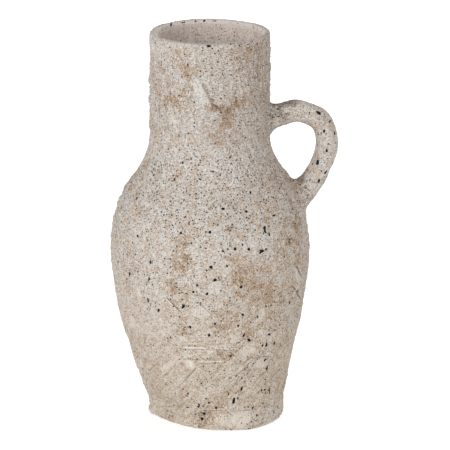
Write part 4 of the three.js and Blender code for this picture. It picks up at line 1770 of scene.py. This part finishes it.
def wash_color(tree, wear, handle_side):
    """The slip itself: cream below, greyer above, and tanned where clay shows through it."""
    tan = weighed(
        tree,
        (wear.warm, 0.12),
        (wear.blotch, 0.15),
        (wear.hollows, 0.22),
        (wear.stain, 0.3),
        (handle_side, 0.1),
    )
    return layered(tree, CREAM_COLOR, (zone(tree, wear.level, GREY_WASH), SLIP_COLOR), (tan, TAN_COLOR))


def slip_cover(tree, wear):
    """How well the slip covers the clay, from 0 to 1."""
    cover = weighed(
        tree,
        (SLIP_COVER, 1.0),
        (wear.grain, 1.0),
        (wear.cluster, 0.08),
        (wear.slip, 0.25),
        (wear.on_flank, 0.25),
        (wear.on_neck, -0.12),
        (wear.blotch, -0.05),
        (wear.hollows, -0.12),
        (wear.stain, -0.42),
        (wear.flecks, -0.5),
        (wear.creases, -0.4),
        (wear.lines, -0.5),
        (wear.plate, 0.18),
    )
    return ramp(tree, cover, -0.8, 0.5)


def grained(tree, color, wear):
    """The colour with each grain a little lighter or darker, least so on plates and most in stains."""
    tint = packed_grains(tree, spacing=0.7, seed=6)
    contrast = weighed(tree, (GRAIN_CONTRAST, 1.0), (wear.plate, -0.1), (wear.stain, 0.12))
    light = calculate(tree, "MULTIPLY_ADD", tint, contrast, GRAIN_LIGHT)
    tone = add_node(tree, "ShaderNodeCombineColor", {"Red": light, "Green": light, "Blue": light}).outputs[0]
    return mix_colors(tree, 1.0, color, tone, "MULTIPLY")


def slipped_material():
    """Worn pale slip on tan clay with stains, specks, tool marks, and dirt and painted shade at handle
    roots.
    """
    material, tree, shader = new_material("slipped_stoneware")
    place = add_node(tree, "ShaderNodeSeparateXYZ", {"Vector": object_place(tree)}).outputs
    wear = slip_wear(tree, place["Z"])
    handle_side = times(tree, zone(tree, place["X"], HANDLE_SIDE), ramp(tree, wear.slip, 1.0, 0.5))
    wash = wash_color(tree, wear, handle_side)
    color = mix_colors(tree, slip_cover(tree, wear), clay_color(tree, wear), wash)
    color = worn_lip(tree, grained(tree, color, wear))
    # Grime and painted shade in the crooks where the handle meets the wall
    grime = ramp(tree, calculate(tree, "SUBTRACT", attribute(tree, "grime"), wear.grain), 0.1, 1.1)
    color = layered(
        tree,
        color,
        (times(tree, grime, 0.85), GRIME_AND_SHADE_COLOR),
        # Dark strokes add painted shade in their grooves, and pale ones painted highlights on their raised
        # edges
        (strokes(tree, -1), UMBER_COLOR),
        (strokes(tree, 1), SCRAPE_AND_HIGHLIGHT_COLOR),
    )
    roughness = weighed(tree, (MATT_ROUGHNESS, 1.0), (wear.plate, -0.15), (wear.grain, 0.08))
    relief = weighed(
        tree,
        (mottle(tree, size=0.9, detail=2, seed=8), 0.5),
        (wear.cluster, 0.5),
        (wear.creases, -0.5),
        (wear.lines, -0.5),
        (wear.plate, 0.4),
    )
    dress(tree, shader, speckled(tree, color), roughness, relief, depth=0.32)
    return material


def lining_material():
    """The smoother inside, painted paler to stand in for light reaching into the neck, a little worn and
    specked.
    """
    material, tree, shader = new_material("smooth_lining")
    level = add_node(tree, "ShaderNodeSeparateXYZ", {"Vector": object_place(tree)}).outputs["Z"]
    cloudy = mottle(tree, size=7, detail=4, seed=21)
    warm = ramp(tree, mottle(tree, size=9, detail=4, seed=27), 0.5, 0.9)
    worn = times(tree, zone(tree, level, LINING_WEAR), mottle(tree, size=1.2, detail=2, seed=23))
    grain = ramp(tree, packed_grains(tree, spacing=0.8, seed=25), -0.1, 0.5)
    color = layered(
        tree,
        PAINTED_LIGHT_LINING_TONE,
        (cloudy, PAINTED_LIGHT_LINING),
        (times(tree, zone(tree, level, LINING_EDGE), 0.8), PAINTED_LIGHT_LINING_TONE),
        (times(tree, warm, 0.28), TAN_COLOR),
        (worn, CLAY_COLOR),
        (times(tree, grain, 0.6), OCHRE_COLOR),
        (specks(tree, spacing=3, share=0.4, radius=0.7, seed=26), RUST_COLOR),
        (specks(tree, spacing=2.4, share=0.5, radius=0.6, seed=24), PEPPER_COLOR),
        (specks(tree, spacing=5, share=0.3, radius=0.8, seed=22), PIT_COLOR),
    )
    roughness = weighed(tree, (MATT_ROUGHNESS, 1.0), (cloudy, -0.1))
    dress(tree, shader, color, roughness, mottle(tree, size=1.6, detail=3, seed=28), depth=0.12)
    return material


def bare_material():
    """Clay that no slip covers."""
    material, tree, shader = new_material("bare_clay")
    cloudy = mottle(tree, size=3, detail=4, seed=31)
    grain = packed_grains(tree, spacing=1, seed=32)
    pepper = specks(tree, spacing=2.4, share=0.4, radius=0.6, seed=33)
    color = layered(tree, CLAY_COLOR, (cloudy, OCHRE_COLOR), (pepper, PEPPER_COLOR))
    roughness = weighed(tree, (BARE_ROUGHNESS, 1.0), (cloudy, -0.08))
    dress(tree, shader, color, roughness, weighed(tree, (cloudy, 0.6), (grain, 0.4)), depth=0.2)
    return material


clay_materials = (slipped_material(), lining_material(), bare_material())


# Stage, in metres

FLOOR_REACH = 9
FLOOR_GREY = 0.9
FLOOR_LIFT = 0.4
WORLD_LIGHT = 0.7
Lamp = namedtuple("Lamp", "name place size power")
LAMPS = (
    Lamp("key", (-1.7, -2.3, 0.85), 1.6, 36.5),
    Lamp("fill", (1.8, -2, 0.12), 1, 17.5),
    Lamp("back", (0.7, 2.5, 1), 1.6, 24),
)


def add_camera():
    camera = bpy.data.objects.new("camera", bpy.data.cameras.new("camera"))
    camera.data.lens = CAMERA_LENS
    camera.data.sensor_width = SENSOR
    camera.location = CAMERA_PLACE * METRES
    camera.rotation_euler = (math.pi / 2 - CAMERA_PITCH, 0, 0)
    bpy.context.scene.collection.objects.link(camera)
    bpy.context.scene.camera = camera


def add_lamp(lamp):
    """A large soft lamp aimed at the middle of the jug."""
    light = bpy.data.objects.new(lamp.name, bpy.data.lights.new(lamp.name, "AREA"))
    light.data.size = lamp.size
    light.data.energy = lamp.power
    light.location = lamp.place
    aim = Vector((0, 0, JUG_HEIGHT / 2 * METRES)) - light.location
    light.rotation_euler = aim.to_track_quat("-Z", "Y").to_euler()
    bpy.context.scene.collection.objects.link(light)


def add_floor():
    """A white floor that takes the jug's shadow, and looks lighter than it lights."""
    corners = [(x * FLOOR_REACH, y * FLOOR_REACH, 0) for x, y in ((-1, -1), (1, -1), (1, 1), (-1, 1))]
    mesh = bpy.data.meshes.new("floor")
    mesh.from_pydata(corners, [], [(0, 1, 2, 3)])
    material, tree, shader = new_material("white_floor")
    shader.inputs["Base Color"].default_value = (FLOOR_GREY, FLOOR_GREY, FLOOR_GREY, 1)
    shader.inputs["Emission Color"].default_value = WHITE
    light_path = add_node(tree, "ShaderNodeLightPath").outputs
    seen = 0.0
    for ray in ("Is Camera Ray", "Is Glossy Ray", "Is Transmission Ray"):
        seen = calculate(tree, "MAXIMUM", light_path[ray], seen)
    feed(tree, shader.inputs["Emission Strength"], times(tree, seen, FLOOR_LIFT))
    mesh.materials.append(material)
    floor = bpy.data.objects.new("floor", mesh)
    bpy.context.scene.collection.objects.link(floor)


def add_world():
    world = bpy.data.worlds.new("studio")
    world.use_nodes = True
    background = world.node_tree.nodes["Background"]
    background.inputs["Strength"].default_value = WORLD_LIGHT
    background.inputs["Color"].default_value = WHITE
    bpy.context.scene.world = world


plain_rings = handle_rings()
handle_front = plain_rings[plain_rings[..., 1] < 0]
lip_edge = around_axis(
    NECK_RADIUS - WALL + LIP_INNER_ROUNDING / 3,
    around(COLUMNS),
    JUG_HEIGHT - LIP_INNER_ROUNDING / 3,
)

base_slab()
wall("lower_wall", BASE_THICKNESS, LOWER_SEAM)
wall("belly_wall", LOWER_SEAM, BELLY_SEAM)
wall("shoulder_wall", BELLY_SEAM, NECK_SEAM)
wall("neck_wall", NECK_SEAM, RIM_SEAM)
rim_coil()
base_seam_coil()
seam_coil("lower_seam_coil", LOWER_SEAM)
seam_coil("belly_seam_coil", BELLY_SEAM)
seam_coil("neck_seam_coil", NECK_SEAM)
handle(plain_rings)
root_fillet("handle_top_fillet", plain_rings * MIRRORED, TOP_SWELL)
root_fillet("handle_foot_fillet", plain_rings[::-1], FOOT_SWELL)

add_camera()
for lamp in LAMPS:
    add_lamp(lamp)
add_floor()
add_world()
bpy.context.scene.view_settings.view_transform = "Standard"
